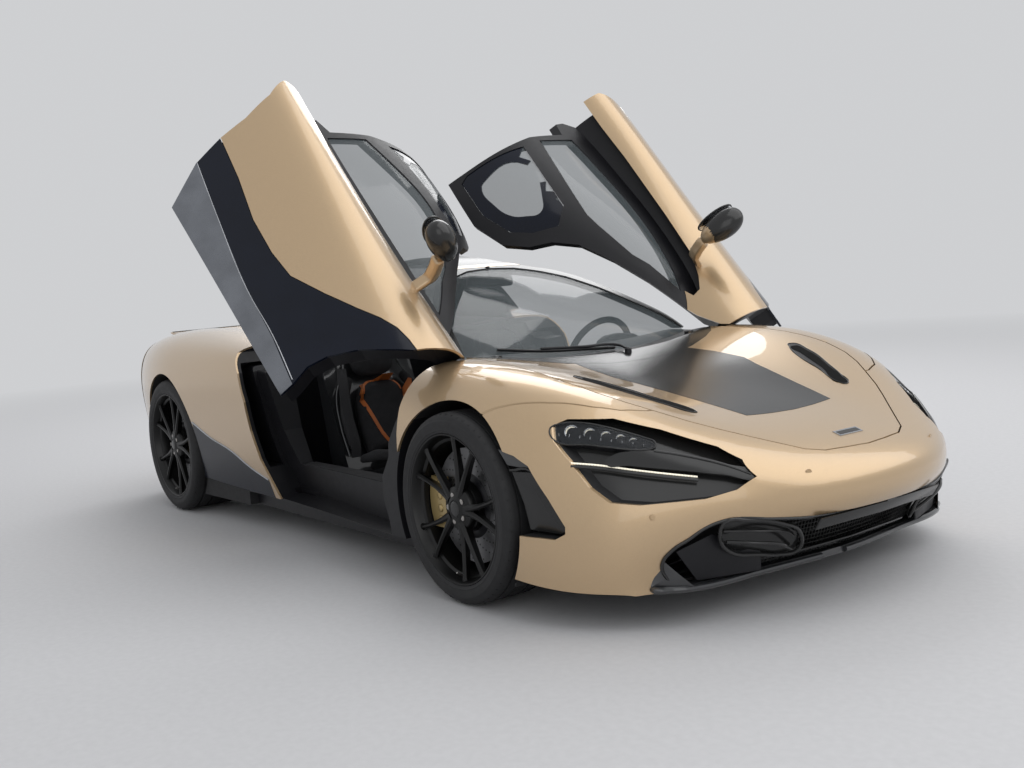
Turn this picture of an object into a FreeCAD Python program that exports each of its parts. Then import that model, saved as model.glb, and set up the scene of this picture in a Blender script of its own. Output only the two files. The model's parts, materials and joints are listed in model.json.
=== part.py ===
"""Two-seat mid-engined sports car with raised doors, as a separable assembly.

Frame: +X forward, +Y left, +Z up, origin on the ground at mid-length.
Lengths are millimetres. The doors are modelled shut and stood open.
"""
import math
import os
import FreeCAD
import Part
import Sketcher
from FreeCAD import Placement, Rotation, Vector

doc = FreeCAD.newDocument("car")
sheet = doc.addObject("Spreadsheet::Sheet", "dims")
SIZE = {}
NODES = {}


def size(name, value, note):
    """Name one size in the sheet and keep its number for the tables."""
    row = len(SIZE) + 1
    sheet.set("A%d" % row, note)
    sheet.set("B%d" % row, str(value))
    sheet.setAlias("B%d" % row, name)
    SIZE[name] = float(value)


size("tow_eye_radius", 8, "threaded hole for the rear towing eye")
size("body_length", 4543, "whole length")
size("body_width", 1930, "whole width without mirrors")
size("body_height", 1196, "height with the doors shut")
size("front_axle_x", 1196.5, "front axle ahead of mid-length")
size("rear_axle_x", -1473.5, "rear axle behind mid-length")
size("front_wheel_y", 832, "front wheel centre out from the middle")
size("kingpin_y", 802, "front wheel's steering axis out from the middle")
size("rear_wheel_y", 800, "rear wheel centre out from the middle")
size("front_tyre_radius", 327, "front tyre")
size("rear_tyre_radius", 345.5, "rear tyre")
size("front_tyre_width", 245, "front tyre across")
size("rear_tyre_width", 305, "rear tyre across")
size("front_rim_radius", 255.5, "front rim lip")
size("rear_rim_radius", 268, "rear rim lip")
size("front_disc_radius", 197, "front brake disc")
size("rear_disc_radius", 190, "rear brake disc")
size("spoke_depth", 34, "wheel spoke across the wheel")
size("spoke_lean", 12, "degrees each spoke of a pair leans")
size("front_arch_radius", 364, "front wheel arch")
size("rear_arch_radius", 378, "rear wheel arch")
size("front_arch_wall", 546, "front arch inner wall from the middle")
size("rear_arch_wall", 600, "rear arch inner wall from the middle")
size("panel_thick", 10, "outer panels")
size("panel_seat", 11, "depth of the structure under the panels")
size("shut_gap", 6, "gap round doors and lids")
size("door_thick", 105, "whole door below the glass")
size("glass_thick", 5, "window glass")
size("glass_inset", 5, "glass below the frame's face")
size("frame_thick", 32, "window frames and pillars")
size("floor_bottom", 112, "underside of the floor")
size("floor_top", 165, "cabin floor")
size("door_swing", 67.7, "door turned from shut to open, degrees")
size("hinge_x", 800, "point on the door's hinge line")
size("hinge_y", 595, "point on the door's hinge line")
size("hinge_z", 809, "point on the door's hinge line")
size("steering_radius", 180, "steering wheel rim")
size("steering_tube", 15, "steering wheel rim's half thickness")
size("engine_length", 530, "engine block")
size("engine_width", 620, "engine block")
size("engine_height", 480, "engine block")
size("pipe_radius", 52, "exhaust pipe")
size("pipe_length", 150, "exhaust pipe")
doc.recompute()
# The tables below hold places for this length, width and height.
LONG = SIZE["body_length"] / 4543.0
WIDE = SIZE["body_width"] / 1930.0
HIGH = SIZE["body_height"] / 1196.0
HINGE = Vector(SIZE["hinge_x"], -SIZE["hinge_y"], SIZE["hinge_z"])
HINGE_LINE = Vector(-0.718, 0.600, 0.355).normalize()

# Body poles, half side: (x, y out, z) from the middle over the crest to the sill.
BODY = [
    [(-2240, 0, 900), (-2240, 350, 900), (-2240, 600, 893), (-2240, 750, 855),
     (-2240, 825, 740), (-2240, 820, 560), (-2240, 790, 400)],
    [(-1960, 0, 915), (-1960, 350, 920), (-1960, 620, 930), (-1960, 820, 890),
     (-1960, 905, 760), (-1960, 915, 560), (-1960, 880, 320)],
    [(-1600, 0, 905), (-1600, 350, 910), (-1600, 640, 945), (-1600, 860, 915),
     (-1600, 970, 790), (-1600, 975, 560), (-1600, 925, 260)],
    [(-1250, 0, 890), (-1250, 360, 890), (-1250, 650, 935), (-1250, 865, 910),
     (-1250, 980, 790), (-1250, 970, 520), (-1250, 915, 210)],
    [(-800, 0, 860), (-800, 360, 860), (-800, 660, 900), (-800, 885, 890),
     (-800, 985, 790), (-800, 950, 470), (-800, 895, 190)],
    [(-300, 0, 830), (-300, 360, 830), (-300, 690, 845), (-300, 905, 845),
     (-300, 980, 770), (-300, 940, 430), (-300, 882, 180)],
    [(200, 0, 800), (200, 360, 800), (200, 680, 825), (200, 880, 812),
     (200, 965, 720), (200, 935, 420), (200, 900, 175)],
    [(700, 0, 790), (700, 360, 790), (700, 670, 815), (700, 850, 790),
     (700, 960, 670), (700, 945, 410), (700, 955, 165)],
    [(1050, 0, 745), (1050, 330, 750), (1050, 690, 815), (1050, 860, 790),
     (1050, 955, 650), (1050, 955, 420), (1050, 945, 160)],
    [(1350, 0, 680), (1350, 300, 690), (1350, 690, 790), (1350, 850, 760),
     (1350, 955, 620), (1350, 960, 400), (1350, 940, 150)],
    [(1650, 0, 620), (1650, 300, 628), (1640, 640, 710), (1620, 800, 680),
     (1560, 945, 560), (1540, 955, 360), (1540, 935, 140)],
    [(1930, 0, 560), (1920, 290, 562), (1860, 580, 610), (1770, 750, 590),
     (1680, 890, 480), (1640, 925, 320), (1610, 915, 130)],
    [(2140, 0, 500), (2120, 280, 495), (2030, 530, 515), (1900, 700, 500),
     (1780, 840, 430), (1730, 890, 290), (1680, 895, 125)],
    [(2275, 0, 430), (2245, 270, 425), (2130, 500, 420), (1970, 680, 410),
     (1850, 810, 360), (1790, 860, 250), (1750, 865, 122)],
    [(2270, 0, 300), (2235, 270, 295), (2110, 510, 290), (1975, 690, 260),
     (1880, 790, 210), (1840, 815, 170), (1820, 820, 120)],
    [(2075, 0, 200), (2055, 270, 195), (2010, 500, 185), (1950, 640, 165),
     (1890, 745, 145), (1870, 770, 130), (1860, 780, 118)],
    [(2050, 0, 120), (2030, 270, 118), (1990, 480, 116), (1945, 620, 114),
     (1900, 720, 113), (1885, 745, 113), (1875, 760, 112)],
]

# Glasshouse poles, half side: (x, y out, z) from the middle down to inside the body.
CANOPY = [
    [(1180, 0, 600), (1150, 300, 600), (1060, 540, 600), (960, 680, 600),
     (860, 790, 560)],
    [(905, 0, 755), (880, 310, 765), (855, 590, 815), (780, 685, 805),
     (680, 800, 620)],
    [(600, 0, 940), (590, 320, 945), (565, 600, 950), (490, 700, 880),
     (400, 805, 640)],
    [(250, 0, 1120), (240, 330, 1120), (200, 590, 1076), (150, 685, 922),
     (110, 812, 650)],
    [(-50, 0, 1205), (-60, 290, 1195), (-90, 515, 1114), (-110, 638, 946),
     (-130, 815, 660)],
    [(-400, 0, 1215), (-400, 260, 1200), (-400, 465, 1110), (-400, 610, 955),
     (-400, 810, 690)],
    [(-800, 0, 1150), (-800, 240, 1135), (-790, 425, 1065), (-780, 565, 940),
     (-780, 780, 700)],
    [(-1200, 0, 1045), (-1190, 215, 1030), (-1180, 375, 975), (-1160, 500, 900),
     (-1150, 720, 700)],
    [(-1650, 0, 925), (-1640, 190, 910), (-1620, 320, 870), (-1600, 430, 830),
     (-1580, 600, 700)],
    [(-1950, 0, 800), (-1940, 170, 790), (-1920, 280, 770), (-1900, 380, 740),
     (-1880, 500, 680)],
]


def at(x, y, z):
    """Place a table's point on the car at its named overall sizes."""
    return Vector(x * LONG, y * WIDE, z * HIGH)


def net(half):
    """Give both sides of a half table as one grid of poles."""
    grid = []
    for row in half:
        right = [at(x, -y, z) for x, y, z in reversed(row[1:])]
        grid.append(right + [at(x, y, z) for x, y, z in row])
    return grid


def offset(grid, depth):
    """Move each pole of a grid out along the grid's own normal."""
    last_row = len(grid) - 1
    last_col = len(grid[0]) - 1
    moved = []
    for i, row in enumerate(grid):
        line = []
        for j, pole in enumerate(row):
            along = grid[min(i + 1, last_row)][j] - grid[max(i - 1, 0)][j]
            across = row[min(j + 1, last_col)] - row[max(j - 1, 0)]
            normal = along.cross(across)
            normal.normalize()
            line.append(pole + normal * depth)
        moved.append(line)
    return moved


def knots(count):
    """Give clamped cubic knots and their multiplicities for a pole count."""
    spans = count - 2
    values = [float(i) for i in range(spans)]
    return values, [4] + [1] * (spans - 2) + [4]


def surface(grid):
    """Make one smooth surface from a grid of poles."""
    made = Part.BSplineSurface()
    u_values, u_counts = knots(len(grid))
    v_values, v_counts = knots(len(grid[0]))
    made.buildFromPolesMultsKnots(grid, u_counts, v_counts, u_values, v_values,
                                  False, False, 3, 3)
    return made


def line_of(poles):
    """Make the edge that a border row of poles gives."""
    curve = Part.BSplineCurve()
    values, counts = knots(len(poles))
    curve.buildFromPolesMultsKnots(poles, counts, values, False, 3)
    return curve.toShape()


def borders(grid):
    """List the four border rows of poles of a grid."""
    return [grid[0], [row[-1] for row in grid], grid[-1], [row[0] for row in grid]]


def closed(faces):
    """Sew faces to one solid with its material inside."""
    shell = Part.Shell(faces)
    shell.sewShape()
    solid = Part.Solid(shell)
    if solid.Volume < 0:
        solid.reverse()
    return solid


def wall(grid, outer, inner):
    """Make the sheet of material between two depths of a surface."""
    top = offset(grid, outer)
    bottom = offset(grid, inner)
    faces = [surface(top).toShape(), surface(bottom).toShape()]
    for upper, lower in zip(borders(top), borders(bottom)):
        faces.append(Part.makeRuledSurface(line_of(upper), line_of(lower)))
    return closed(faces)


def mass(grid, depth, floor):
    """Fill the room between a surface and a flat floor."""
    top = offset(grid, depth)
    faces = [surface(top).toShape()]
    edges = []
    for upper in borders(top):
        lower = [Vector(p.x, p.y, floor) for p in upper]
        edges.append(line_of(lower))
        faces.append(Part.makeRuledSurface(line_of(upper), edges[-1]))
    faces.append(Part.Face(Part.Wire(Part.__sortEdges__(edges))))
    return closed(faces)


def plan(points, low, high):
    """Extrude a seen-from-above outline between two heights."""
    loop = [at(x, y, low) for x, y in points]
    face = Part.Face(Part.makePolygon(loop + loop[:1]))
    return face.extrude(at(0, 0, high - low))


def side(points, near, far):
    """Extrude a seen-from-the-side outline between two places across."""
    loop = [at(x, near, z) for x, z in points]
    face = Part.Face(Part.makePolygon(loop + loop[:1]))
    return face.extrude(at(0, far - near, 0))


def front(points, back, ahead):
    """Extrude a seen-from-the-front outline between two places along."""
    loop = [at(back, y, z) for y, z in points]
    face = Part.Face(Part.makePolygon(loop + loop[:1]))
    return face.extrude(at(ahead - back, 0, 0))


def box(x0, x1, y0, y1, z0, z1):
    """Make a box between two corners given for the table's car."""
    low = at(x0, y0, z0)
    wide = at(x1, y1, z1) - low
    return Part.makeBox(wide.x, wide.y, wide.z, low)


def block(x0, x1, y0, y1, z0, z1):
    """Make a box between two corners made from named sizes."""
    return Part.makeBox(x1 - x0, y1 - y0, z1 - z0, Vector(x0, y0, z0))


def drum(x, y0, y1, z, radius):
    """Make a cylinder lying across the car at a place from named sizes."""
    return Part.makeCylinder(radius, y1 - y0, Vector(x, y0, z), Vector(0, 1, 0))


def rod(x, y0, y1, z, radius):
    """Make a cylinder lying across the table's car."""
    low = at(x, y0, z)
    return Part.makeCylinder(radius, at(0, y1 - y0, 0).y, low, Vector(0, 1, 0))


def flip(shape):
    """Mirror a shape to the car's other side."""
    return shape.mirror(Vector(0, 0, 0), Vector(0, 1, 0))


def both(shape):
    """Give a right-hand shape and its left-hand mirror."""
    return [shape, flip(shape)]


def joined(shapes):
    """Fuse shapes and tidy the seams."""
    whole = shapes[0]
    if len(shapes) > 1:
        whole = whole.multiFuse(shapes[1:])
    return whole


def less(shape, tools):
    """Take all tools out of a shape."""
    for tool in tools:
        shape = shape.cut(tool)
    return shape


def solids(shape, least=20000.0):
    """Keep the solids of a shape that are larger than slivers."""
    kept = [s for s in shape.Solids if s.Volume > least]
    return Part.makeCompound(kept) if len(kept) > 1 else kept[0]


def keep(name, shape, least=20000.0):
    """Put a finished shape in the document as a node."""
    item = doc.addObject("Part::Feature", name)
    item.Shape = solids(shape, least)
    NODES[name] = item
    return item


def opened(shape, sign):
    """Stand a shut door's shape open; sign is -1 right, +1 left."""
    turned = shape.copy()
    base = Vector(HINGE.x, sign * SIZE["hinge_y"], HINGE.z)
    axis = Vector(HINGE_LINE.x, HINGE_LINE.y, HINGE_LINE.z)
    angle = SIZE["door_swing"]
    if sign > 0:
        axis = Vector(-HINGE_LINE.x, HINGE_LINE.y, -HINGE_LINE.z)
    turned.rotate(base, axis, angle)
    return turned


body = net(BODY)
canopy = net(CANOPY[::-1])
thick = SIZE["panel_thick"]
seat = SIZE["panel_seat"]
gap = SIZE["shut_gap"]
skin = wall(body, 0, -thick)
under = mass(body, -seat, SIZE["floor_bottom"])
under_near = mass(body, 0.4 - seat, SIZE["floor_bottom"])
glasshouse = mass(canopy, 2, 500)
pillars = wall(canopy, 0, -SIZE["frame_thick"])
inset = SIZE["glass_inset"]
pane = wall(canopy, -inset, -inset - SIZE["glass_thick"])
room_top = mass(canopy, -SIZE["frame_thick"] - 4, 500)

front_z = SIZE["front_tyre_radius"]
rear_z = SIZE["rear_tyre_radius"]
front_arch = drum(SIZE["front_axle_x"], -1100, -SIZE["front_arch_wall"], front_z,
                  SIZE["front_arch_radius"])
rear_arch = drum(SIZE["rear_axle_x"], -1100, -SIZE["rear_arch_wall"], rear_z,
                 SIZE["rear_arch_radius"])
arches = both(front_arch) + both(rear_arch)

# Bonnet outline from above, half side, front to rear.
BONNET = [(2160, 0), (2152, 90), (2138, 185), (2108, 242), (2012, 330), (1925, 410),
          (1855, 470), (1764, 535), (1694, 583), (1610, 625), (1500, 655), (1400, 665),
          (1290, 668), (1180, 665), (1060, 660), (905, 640), (960, 330), (985, 0)]
# Door outline from the side, from the front bottom round by the top.
DOOR = [(757, 186), (744, 243), (716, 314), (724, 391), (768, 492), (833, 585),
        (880, 653), (906, 735), (916, 800), (916, 1300), (-360, 1300), (-360, 1196),
        (-402, 1100), (-428, 1043), (-440, 905), (-530, 888), (-545, 838),
        (-474, 750), (-430, 619), (-420, 490), (-392, 359), (-290, 186)]
DOOR_GAP = [(923 if x == 916 else x - 5 if z > 900 else x, z) for x, z in DOOR]
# Door roof part's outline from above.
DOOR_TOP = [(935, -775), (892, -722), (790, -662), (560, -572), (420, -505),
            (290, -425), (218, -335), (180, -240), (105, -150), (-60, -85),
            (-357, -85), (-470, -95), (-575, -300), (-575, -1100), (935, -1100)]
TOP_GAP = [(x, y) if x > 600 or y < -600 else (x + 9, y + 7) for x, y in DOOR_TOP]


def grown(points, grow):
    """Grow a polygon's outline by a distance (shrink for a minus)."""
    loop = [Vector(x, y, 0) for x, y in points]
    face = Part.Face(Part.makePolygon(loop + loop[:1]))
    wire = face.makeOffset2D(grow, join=2)
    ring = [(v.X, v.Y) for v in wire.OuterWire.OrderedVertexes]
    return ring


def full_plan(half):
    """Mirror a half outline about the middle line."""
    other = [(x, -y) for x, y in reversed(half) if y > 0.1]
    return half + other


bonnet_cut = plan(full_plan(BONNET), 380, 1100)
bonnet_hole = plan(grown(full_plan(BONNET), 5), 380, 1100)
door_cut = side(DOOR, -1100, -60)
door_hole = side(grown(DOOR_GAP, gap), -1100, -60)
door_inner = side(grown(DOOR, -14), -1100, -60)
top_cut = plan(DOOR_TOP, 60, 1400)
top_hole = plan(grown(TOP_GAP, gap), 60, 1400)

def on_hinge(t):
    """Give the point on the right door's hinge line, a distance along it."""
    return HINGE + HINGE_LINE * t


# Hinge: a fixed pin, and a sleeve and arm on the door that turn about it.
sleeve_room = Part.makeCylinder(30, 92, on_hinge(-206), HINGE_LINE)
arm_line = Vector(-0.694, -0.664, -0.279)
arm_line = (arm_line - HINGE_LINE * arm_line.dot(HINGE_LINE)).normalize()
arm_side = HINGE_LINE.cross(arm_line)


def arm_block(reach, low, high, half):
    """Make a flat bar out from the hinge line."""
    corners = [on_hinge(low) - arm_side * half, on_hinge(high) - arm_side * half,
               on_hinge(high) + arm_line * reach - arm_side * half,
               on_hinge(low) + arm_line * reach - arm_side * half]
    face = Part.Face(Part.makePolygon(corners + corners[:1]))
    return face.extrude(arm_side * (2 * half))


fan_face = Part.makePolygon([on_hinge(-196), on_hinge(-124),
                             on_hinge(-124) + arm_line * 120,
                             on_hinge(-196) + arm_line * 120, on_hinge(-196)])
fan = Part.Face(fan_face)
fan.rotate(HINGE, HINGE_LINE, -22)
fan = fan.revolve(HINGE, HINGE_LINE, SIZE["door_swing"] + 44)
hinge_room = joined([sleeve_room, fan])
sleeve = Part.makeCylinder(17, 60, on_hinge(-190), HINGE_LINE)
link = arm_block(110, -188, -132, 8)
bore = Part.makeCylinder(9, 120, on_hinge(-220), HINGE_LINE)
pin = Part.makeCylinder(8.95, 104, on_hinge(-212), HINGE_LINE)
both_rooms = both(hinge_room)

# The front wings end at the seam to the bumper, given from above.
SEAM = [(1310, 1100), (1330, 940), (1345, 911), (1391, 889), (1437, 865),
        (1482, 838), (1520, 814), (1565, 784), (1600, 756), (1670, 702),
        (1728, 640), (1760, 560), (1760, 300), (700, 300), (700, 1100)]
fender = skin.common(plan([(x, -y) for x, y in SEAM], 90, 1100))
fender = fender.cut(side([(600, 60), (878, 60), (873, 390), (876, 560), (887, 653),
                          (860, 653), (700, 640), (600, 640)], -1100, -300))
fender = less(fender, [bonnet_hole, front_arch, box(690, 1000, -662, 0, 600, 1000),
                       box(690, 975, -722, 0, 600, 1000),
                       box(690, 945, -756, 0, 600, 1000), box(690, 939, -792, 0, 700, 1000), glasshouse,
                       door_hole.common(top_hole), hinge_room])
keep("front_fenders", Part.makeCompound([s for f in both(fender) for s in f.Solids]))

bonnet = less(skin.common(bonnet_cut), [glasshouse])
ear = box(899, 960, 499, 513, 770, 800).common(mass(body, 0, 500))
ear = joined([ear.cut(rod(906, 480, 530, 785, 14)),
              rod(906, 499, 513, 785, 8), box(905, 925, 499, 513, 779, 789)])
ear_room = joined([rod(906, 492, 520, 785, 16), box(893, 966, 492, 520, 762, 830)])
bonnet = joined([bonnet, ear, flip(ear)])
bonnet = less(bonnet, both(rod(906, 480, 530, 785, 4.1)))
keep("bonnet", bonnet)

bumper_area = [(1310, -1100)] + [(x, -y) for x, y in SEAM[1:12]]
bumper_area += [(x, -y) for x, y in reversed(bumper_area)]
bumper_area = grown(bumper_area + [(2400, 1100), (2400, -1100)], -gap)
bumper = skin.common(plan(bumper_area, 90, 1100))
# Lamp socket, wheel duct and lower intake outlines.
LAMP = [(1622, 619), (1650, 636), (1746, 629), (1856, 589), (1990, 531), (2058, 493),
        (2108, 446), (2085, 415), (2031, 395), (1903, 387), (1832, 397), (1775, 440),
        (1706, 518), (1647, 575)]
DUCT = [(1400, 556), (1459, 551), (1536, 533), (1592, 504), (1667, 404), (1718, 325),
        (1718, 303), (1684, 284), (1640, 286), (1400, 288)]
INTAKE = [(0, 306), (146, 306), (317, 308), (434, 322), (533, 335), (570, 328),
          (605, 312), (643, 281), (679, 252), (704, 207), (691, 182), (675, 168),
          (640, 140), (600, 112), (590, 60), (0, 60)]
lamp_cut = side(LAMP, -1000, -440)
duct_cut = side(DUCT, -1000, -835)
intake_cut = front([(-y, z) for y, z in INTAKE]
                   + [(y, z) for y, z in reversed(INTAKE)][1:-1], 1740, 2400)
bumper = less(bumper, [bonnet_hole, intake_cut] + arches + both(lamp_cut)
              + both(duct_cut))
keep("front_bumper", bumper)

deck_cut = plan([(-1000, -500), (-2060, -600), (-2060, 600), (-1000, 500)], 600, 1200)
quarter = skin.common(box(-2060, -240, -1100, -100, 60, 1300))
quarter = less(quarter, [rear_arch, glasshouse, deck_cut, door_hole.common(top_hole),
                         box(-288, -200, -1100, 0, 60, 1300)])
keep("rear_quarters", Part.makeCompound([s for f in both(quarter) for s in f.Solids]))

# Structure under the panels: tub, nose and tail.
cabin_side = side([(-560, 165), (560, 165), (760, 330), (800, 560), (720, 700),
                   (560, 1300), (-560, 1300)], -735, 735)
cabin_top = joined([mass(body, -40, 140), room_top])
cabin = cabin_side.common(cabin_top)
aperture = side([(-250, 330), (680, 330), (790, 470), (830, 800), (830, 1300),
                 (-400, 1300), (-400, 800), (-330, 480)], -1100, -600)
door_room = wall(body, 5, -SIZE["door_thick"] - 14).common(door_hole)
door_room = door_room.common(top_hole)
under_top = joined([under, mass(canopy, -SIZE["frame_thick"] - 1, 500)])
tub = under.common(box(-650, 975, -1000, 1000, 100, 1300))
tub = less(tub, both(box(-660, 1000, -1000, -840, 60, 178)))
lid_room = wall(body, 4, -thick - 6).common(bonnet_hole)
air_way = wall(body, -28, -95).common(side([(-640, 320), (-260, 320), (-330, 620),
                                              (-400, 790), (-640, 790)], -1100, -700))
tub = less(tub, [cabin, aperture, flip(aperture), door_room, flip(door_room), lid_room,
                 ear_room, flip(ear_room)] + arches + both_rooms + both(air_way))
posts = []
for y in (486, 514):
    posts.append(box(899, 913, y, y + 12, 735, 793))
posts.append(rod(906, 490, 522, 785, 4))
posts += [flip(part) for part in posts]
tub = less(tub, both(box(850, 945, -735, -688, 778, 830))
           + both(box(884, 910, -650, -612, 780, 830))
           + both(box(-320, -140, -806, -772, 188, 216)))
tub = joined([tub, pin, flip(pin)] + posts)
keep("tub", tub)

luggage = box(1015, 1640, -430, 430, 250, 1000)
nose = under.common(box(977, 2100, -1000, 1000, 100, 1300))
nose = less(nose, both_rooms + [luggage, intake_cut, lid_room, ear_room, flip(ear_room),
                                box(1500, 2400, -1000, 1000, 100, 134)]
            + arches + both(lamp_cut) + both(duct_cut))
keep("front_structure", nose)

bay = box(-1250, -700, -420, 420, 180, 840)
tail = under.common(box(-2140, -652, -1000, 1000, 100, 1300))
tail = less(tail, [bay] + arches)
tail = less(tail, [box(-2150, -1850, -1000, 1000, 90, 330),
                   box(-2300, -2075, -606, 606, 868, 1000)])
eye_root = at(-2130, -480, 470)
eye_boss = Part.makeCylinder(SIZE["tow_eye_radius"] + 7, 70, eye_root, Vector(-1, 0, 0))
eye_bore = Part.makeCylinder(SIZE["tow_eye_radius"], 60, at(-2140, -480, 470),
                             Vector(-1, 0, 0))
tail = joined([tail, eye_boss]).cut(eye_bore)
tail = joined([tail] + both(rod(-2092, 585, 625, 886, 4)))
keep("rear_structure", tail)

# Glasshouse: fixed frame, screens and the engine cover.
SCREEN = [(1000, 0), (985, 300), (930, 520), (880, 590), (800, 580), (640, 520),
          (440, 425), (320, 330), (258, 240), (205, 130), (190, 0)]
screen_cut = plan(full_plan(SCREEN), 500, 1400)
BACK = [(-480, 0), (-490, 260), (-1080, 330), (-1140, 0)]
back_cut = plan(full_plan(BACK), 500, 1400)
frame_area = plan([(960, -760), (960, 760), (-1000, 760), (-1000, -760)], 500, 1400)
door_space = top_hole.common(door_hole)
roof = less(pillars.common(frame_area), [door_space, flip(door_space), screen_cut,
                                         back_cut, under_near, skin])
keep("roof_frame", roof)
keep("windscreen", less(pane.common(plan(grown(full_plan(SCREEN), -1), 500, 1400)),
                        [under]))
keep("rear_glass", less(pane.common(plan(grown(full_plan(BACK), -1), 500, 1400)),
                        [under]))
deck = less(wall(canopy, 0, -18).common(plan([(-1003, -760), (-1003, 760),
            (-2050, 760), (-2050, -760)], 500, 1400)), [back_cut, under_near])
keep("engine_cover", less(deck, [skin]))

# Doors, modelled shut and stood open.
door_skin = less(skin.common(door_cut).common(top_cut), [glasshouse])
SPLIT = [(-600, 490), (-420, 490), (-196, 464), (15, 426), (197, 419), (337, 431),
         (487, 500), (616, 568), (700, 618), (768, 648), (830, 659), (950, 664)]
split = side([(-600, 60)] + SPLIT + [(950, 60)], -1100, -500)
split_gap = side([(-600, 60)] + [(x, z + 3) for x, z in SPLIT] + [(950, 60)],
                 -1100, -500)
# The skin's inner edge stands free over an air channel beside the window.
CHANNEL = [(-620, -824), (-350, -819), (-126, -822), (267, -813), (513, -801),
           (630, -768), (690, -738), (700, -700), (560, -640), (0, -600), (-620, -600)]
channel = plan(CHANNEL, 500, 1300)
door_lower = door_skin.common(split)
door_upper = door_skin.cut(split_gap).cut(channel)
door_core = wall(body, -thick - 0.5, -SIZE["door_thick"]).common(door_inner).common(top_cut)
window_frame = pillars.common(top_cut).cut(mass(body, -SIZE["door_thick"], 90))
PANE_SIDE = [(735, -690), (500, -625), (432, -590), (250, -545), (171, -530),
             (-380, -545), (-400, -1000), (735, -1000)]
PANE_ROOF = [(170, -400), (135, -290), (70, -205), (-80, -145), (-300, -140),
             (-325, -180), (-350, -470), (90, -470)]
pane_tools = [plan(PANE_SIDE, 500, 1400), plan(PANE_ROOF, 500, 1400)]
window_frame = less(window_frame, [pane_tools[0].cut(mass(body, 14, 100)),
                                   pane_tools[1]])
door_core = less(door_core, [box(884, 1000, -1000, -50, 700, 900), mass(canopy, 0, 560).common(box(-620, 1000, -700, -50,
                                                             700, 1300))])
channel_room = wall(body, 6, -68).common(channel).cut(mass(canopy, 0, 400))
door_core = door_core.cut(channel_room)
door_frame = joined([door_core, window_frame.common(door_inner)])
door_frame = less(door_frame, [box(-620, 1000, -600, -50, 100, 760)])
door_frame = joined([door_frame, sleeve, link]).cut(bore)
side_pane = pane.common(plan(grown(PANE_SIDE, -1), 500, 1400))
side_pane = less(side_pane, [mass(body, 15, 100)]).common(door_inner)
roof_pane = pane.common(plan(grown(PANE_ROOF, -1), 500, 1400)).common(door_inner)
mirror_head = box(512, 662, -1072, -867, 888, 1016)
along = [e for e in mirror_head.Edges if abs(e.tangentAt(e.FirstParameter).x) > 0.9]
mirror_head = mirror_head.makeFillet(58, along)
nose_ring = [e for e in mirror_head.Edges
             if all(abs(v.X - 662 * LONG) < 1 for v in e.Vertexes)]
mirror_head = mirror_head.makeFillet(50, nose_ring)
arm = [(-880, 930), (-880, 900), (-790, 880), (-790, 740), (-820, 740), (-860, 870),
       (-920, 900), (-920, 930)]
arm = [at(540, y, z) for y, z in arm]
mirror_arm = Part.Face(Part.makePolygon(arm + arm[:1])).extrude(Vector(60, 0, 0))
mirror = less(joined([mirror_head, mirror_arm]), [skin, door_frame, under])
for sign, hand in ((-1, "right"), (1, "left")):
    for part, shape in (("door_skin", door_upper), ("door_lower", door_lower),
                        ("door_frame", door_frame), ("mirror", mirror),
                        ("door_glass", Part.makeCompound([side_pane, roof_pane]))):
        shut = shape if sign < 0 else flip(shape)
        keep(part + "_" + hand, opened(shut, sign), 5000.0)

# Front and rear ends.
SPLITTER = [(2045, 0), (2040, 110), (2010, 350), (1970, 630), (1850, 760),
            (1700, 840), (1572, 850)]
intake = less(plan(full_plan(SPLITTER), 112, 134), arches + [bumper])
keep("front_intake", intake)
rear_shape = mass(body, 0, 300).common(box(-2236, -2140, -1000, 1000, 330, 1000))
wing_room = box(-2300, -2075, -606, 606, 868, 1000)
pipe = Part.makeCylinder(SIZE["pipe_radius"], 127, at(-2141, 110, 640), Vector(-1, 0, 0))
pipe_hole = Part.makeCylinder(SIZE["pipe_radius"] + 1, 160, at(-2130, 110, 640),
                              Vector(-1, 0, 0))
pipe_bore = Part.makeCylinder(SIZE["pipe_radius"] - 6, 110, at(-2160, 110, 640),
                              Vector(-1, 0, 0))
keep("exhausts", Part.makeCompound(both(pipe.cut(pipe_bore))))
eye_hole = Part.makeCylinder(SIZE["tow_eye_radius"] + 9, 160, eye_root,
                             Vector(-1, 0, 0))
rear_shape = less(rear_shape, [eye_hole] + both(quarter) + both(pipe_hole) + [wing_room])
keep("rear_bumper", rear_shape)
diffuser = box(-2230, -1850, -640, 640, 150, 330)
keep("diffuser", less(diffuser, arches))
lamp = less(wall(body, -6, -60).common(lamp_cut), [bonnet_hole])
keep("headlamps", Part.makeCompound([s for f in both(lamp) for s in f.Solids]))
tail_lamp = box(-2246, -2236, -760, -420, 700, 724)
keep("tail_lamps", Part.makeCompound(both(tail_lamp)))
scoop = wall(body, -28.5, -94.5).common(box(-612, -600, -1100, -700, 321, 789))
keep("side_intakes", Part.makeCompound([s for f in both(scoop) for s in f.Solids]))
WING = [(-2092, 896), (-2150, 903), (-2271.5, 912), (-2271.5, 906), (-2180, 886),
        (-2092, 876)]
wing = joined([side(WING, -600, 600), rod(-2092, -600, 600, 886, 10)])
wing = less(wing, both(rod(-2092, 580, 620, 886, 4.1)))
keep("rear_wing", wing)


def bound(item, **sizes):
    """Bind an item's properties to named sizes."""
    for prop, text in sizes.items():
        item.setExpression(prop, text)
    return item


def prim(kind, name, x, y, z, **sizes):
    """Add a primitive with sizes bound to the sheet."""
    item = doc.addObject("Part::" + kind, name)
    bound(item, **sizes)
    item.Placement = Placement(Vector(x, y, z), Rotation())
    return item


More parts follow.
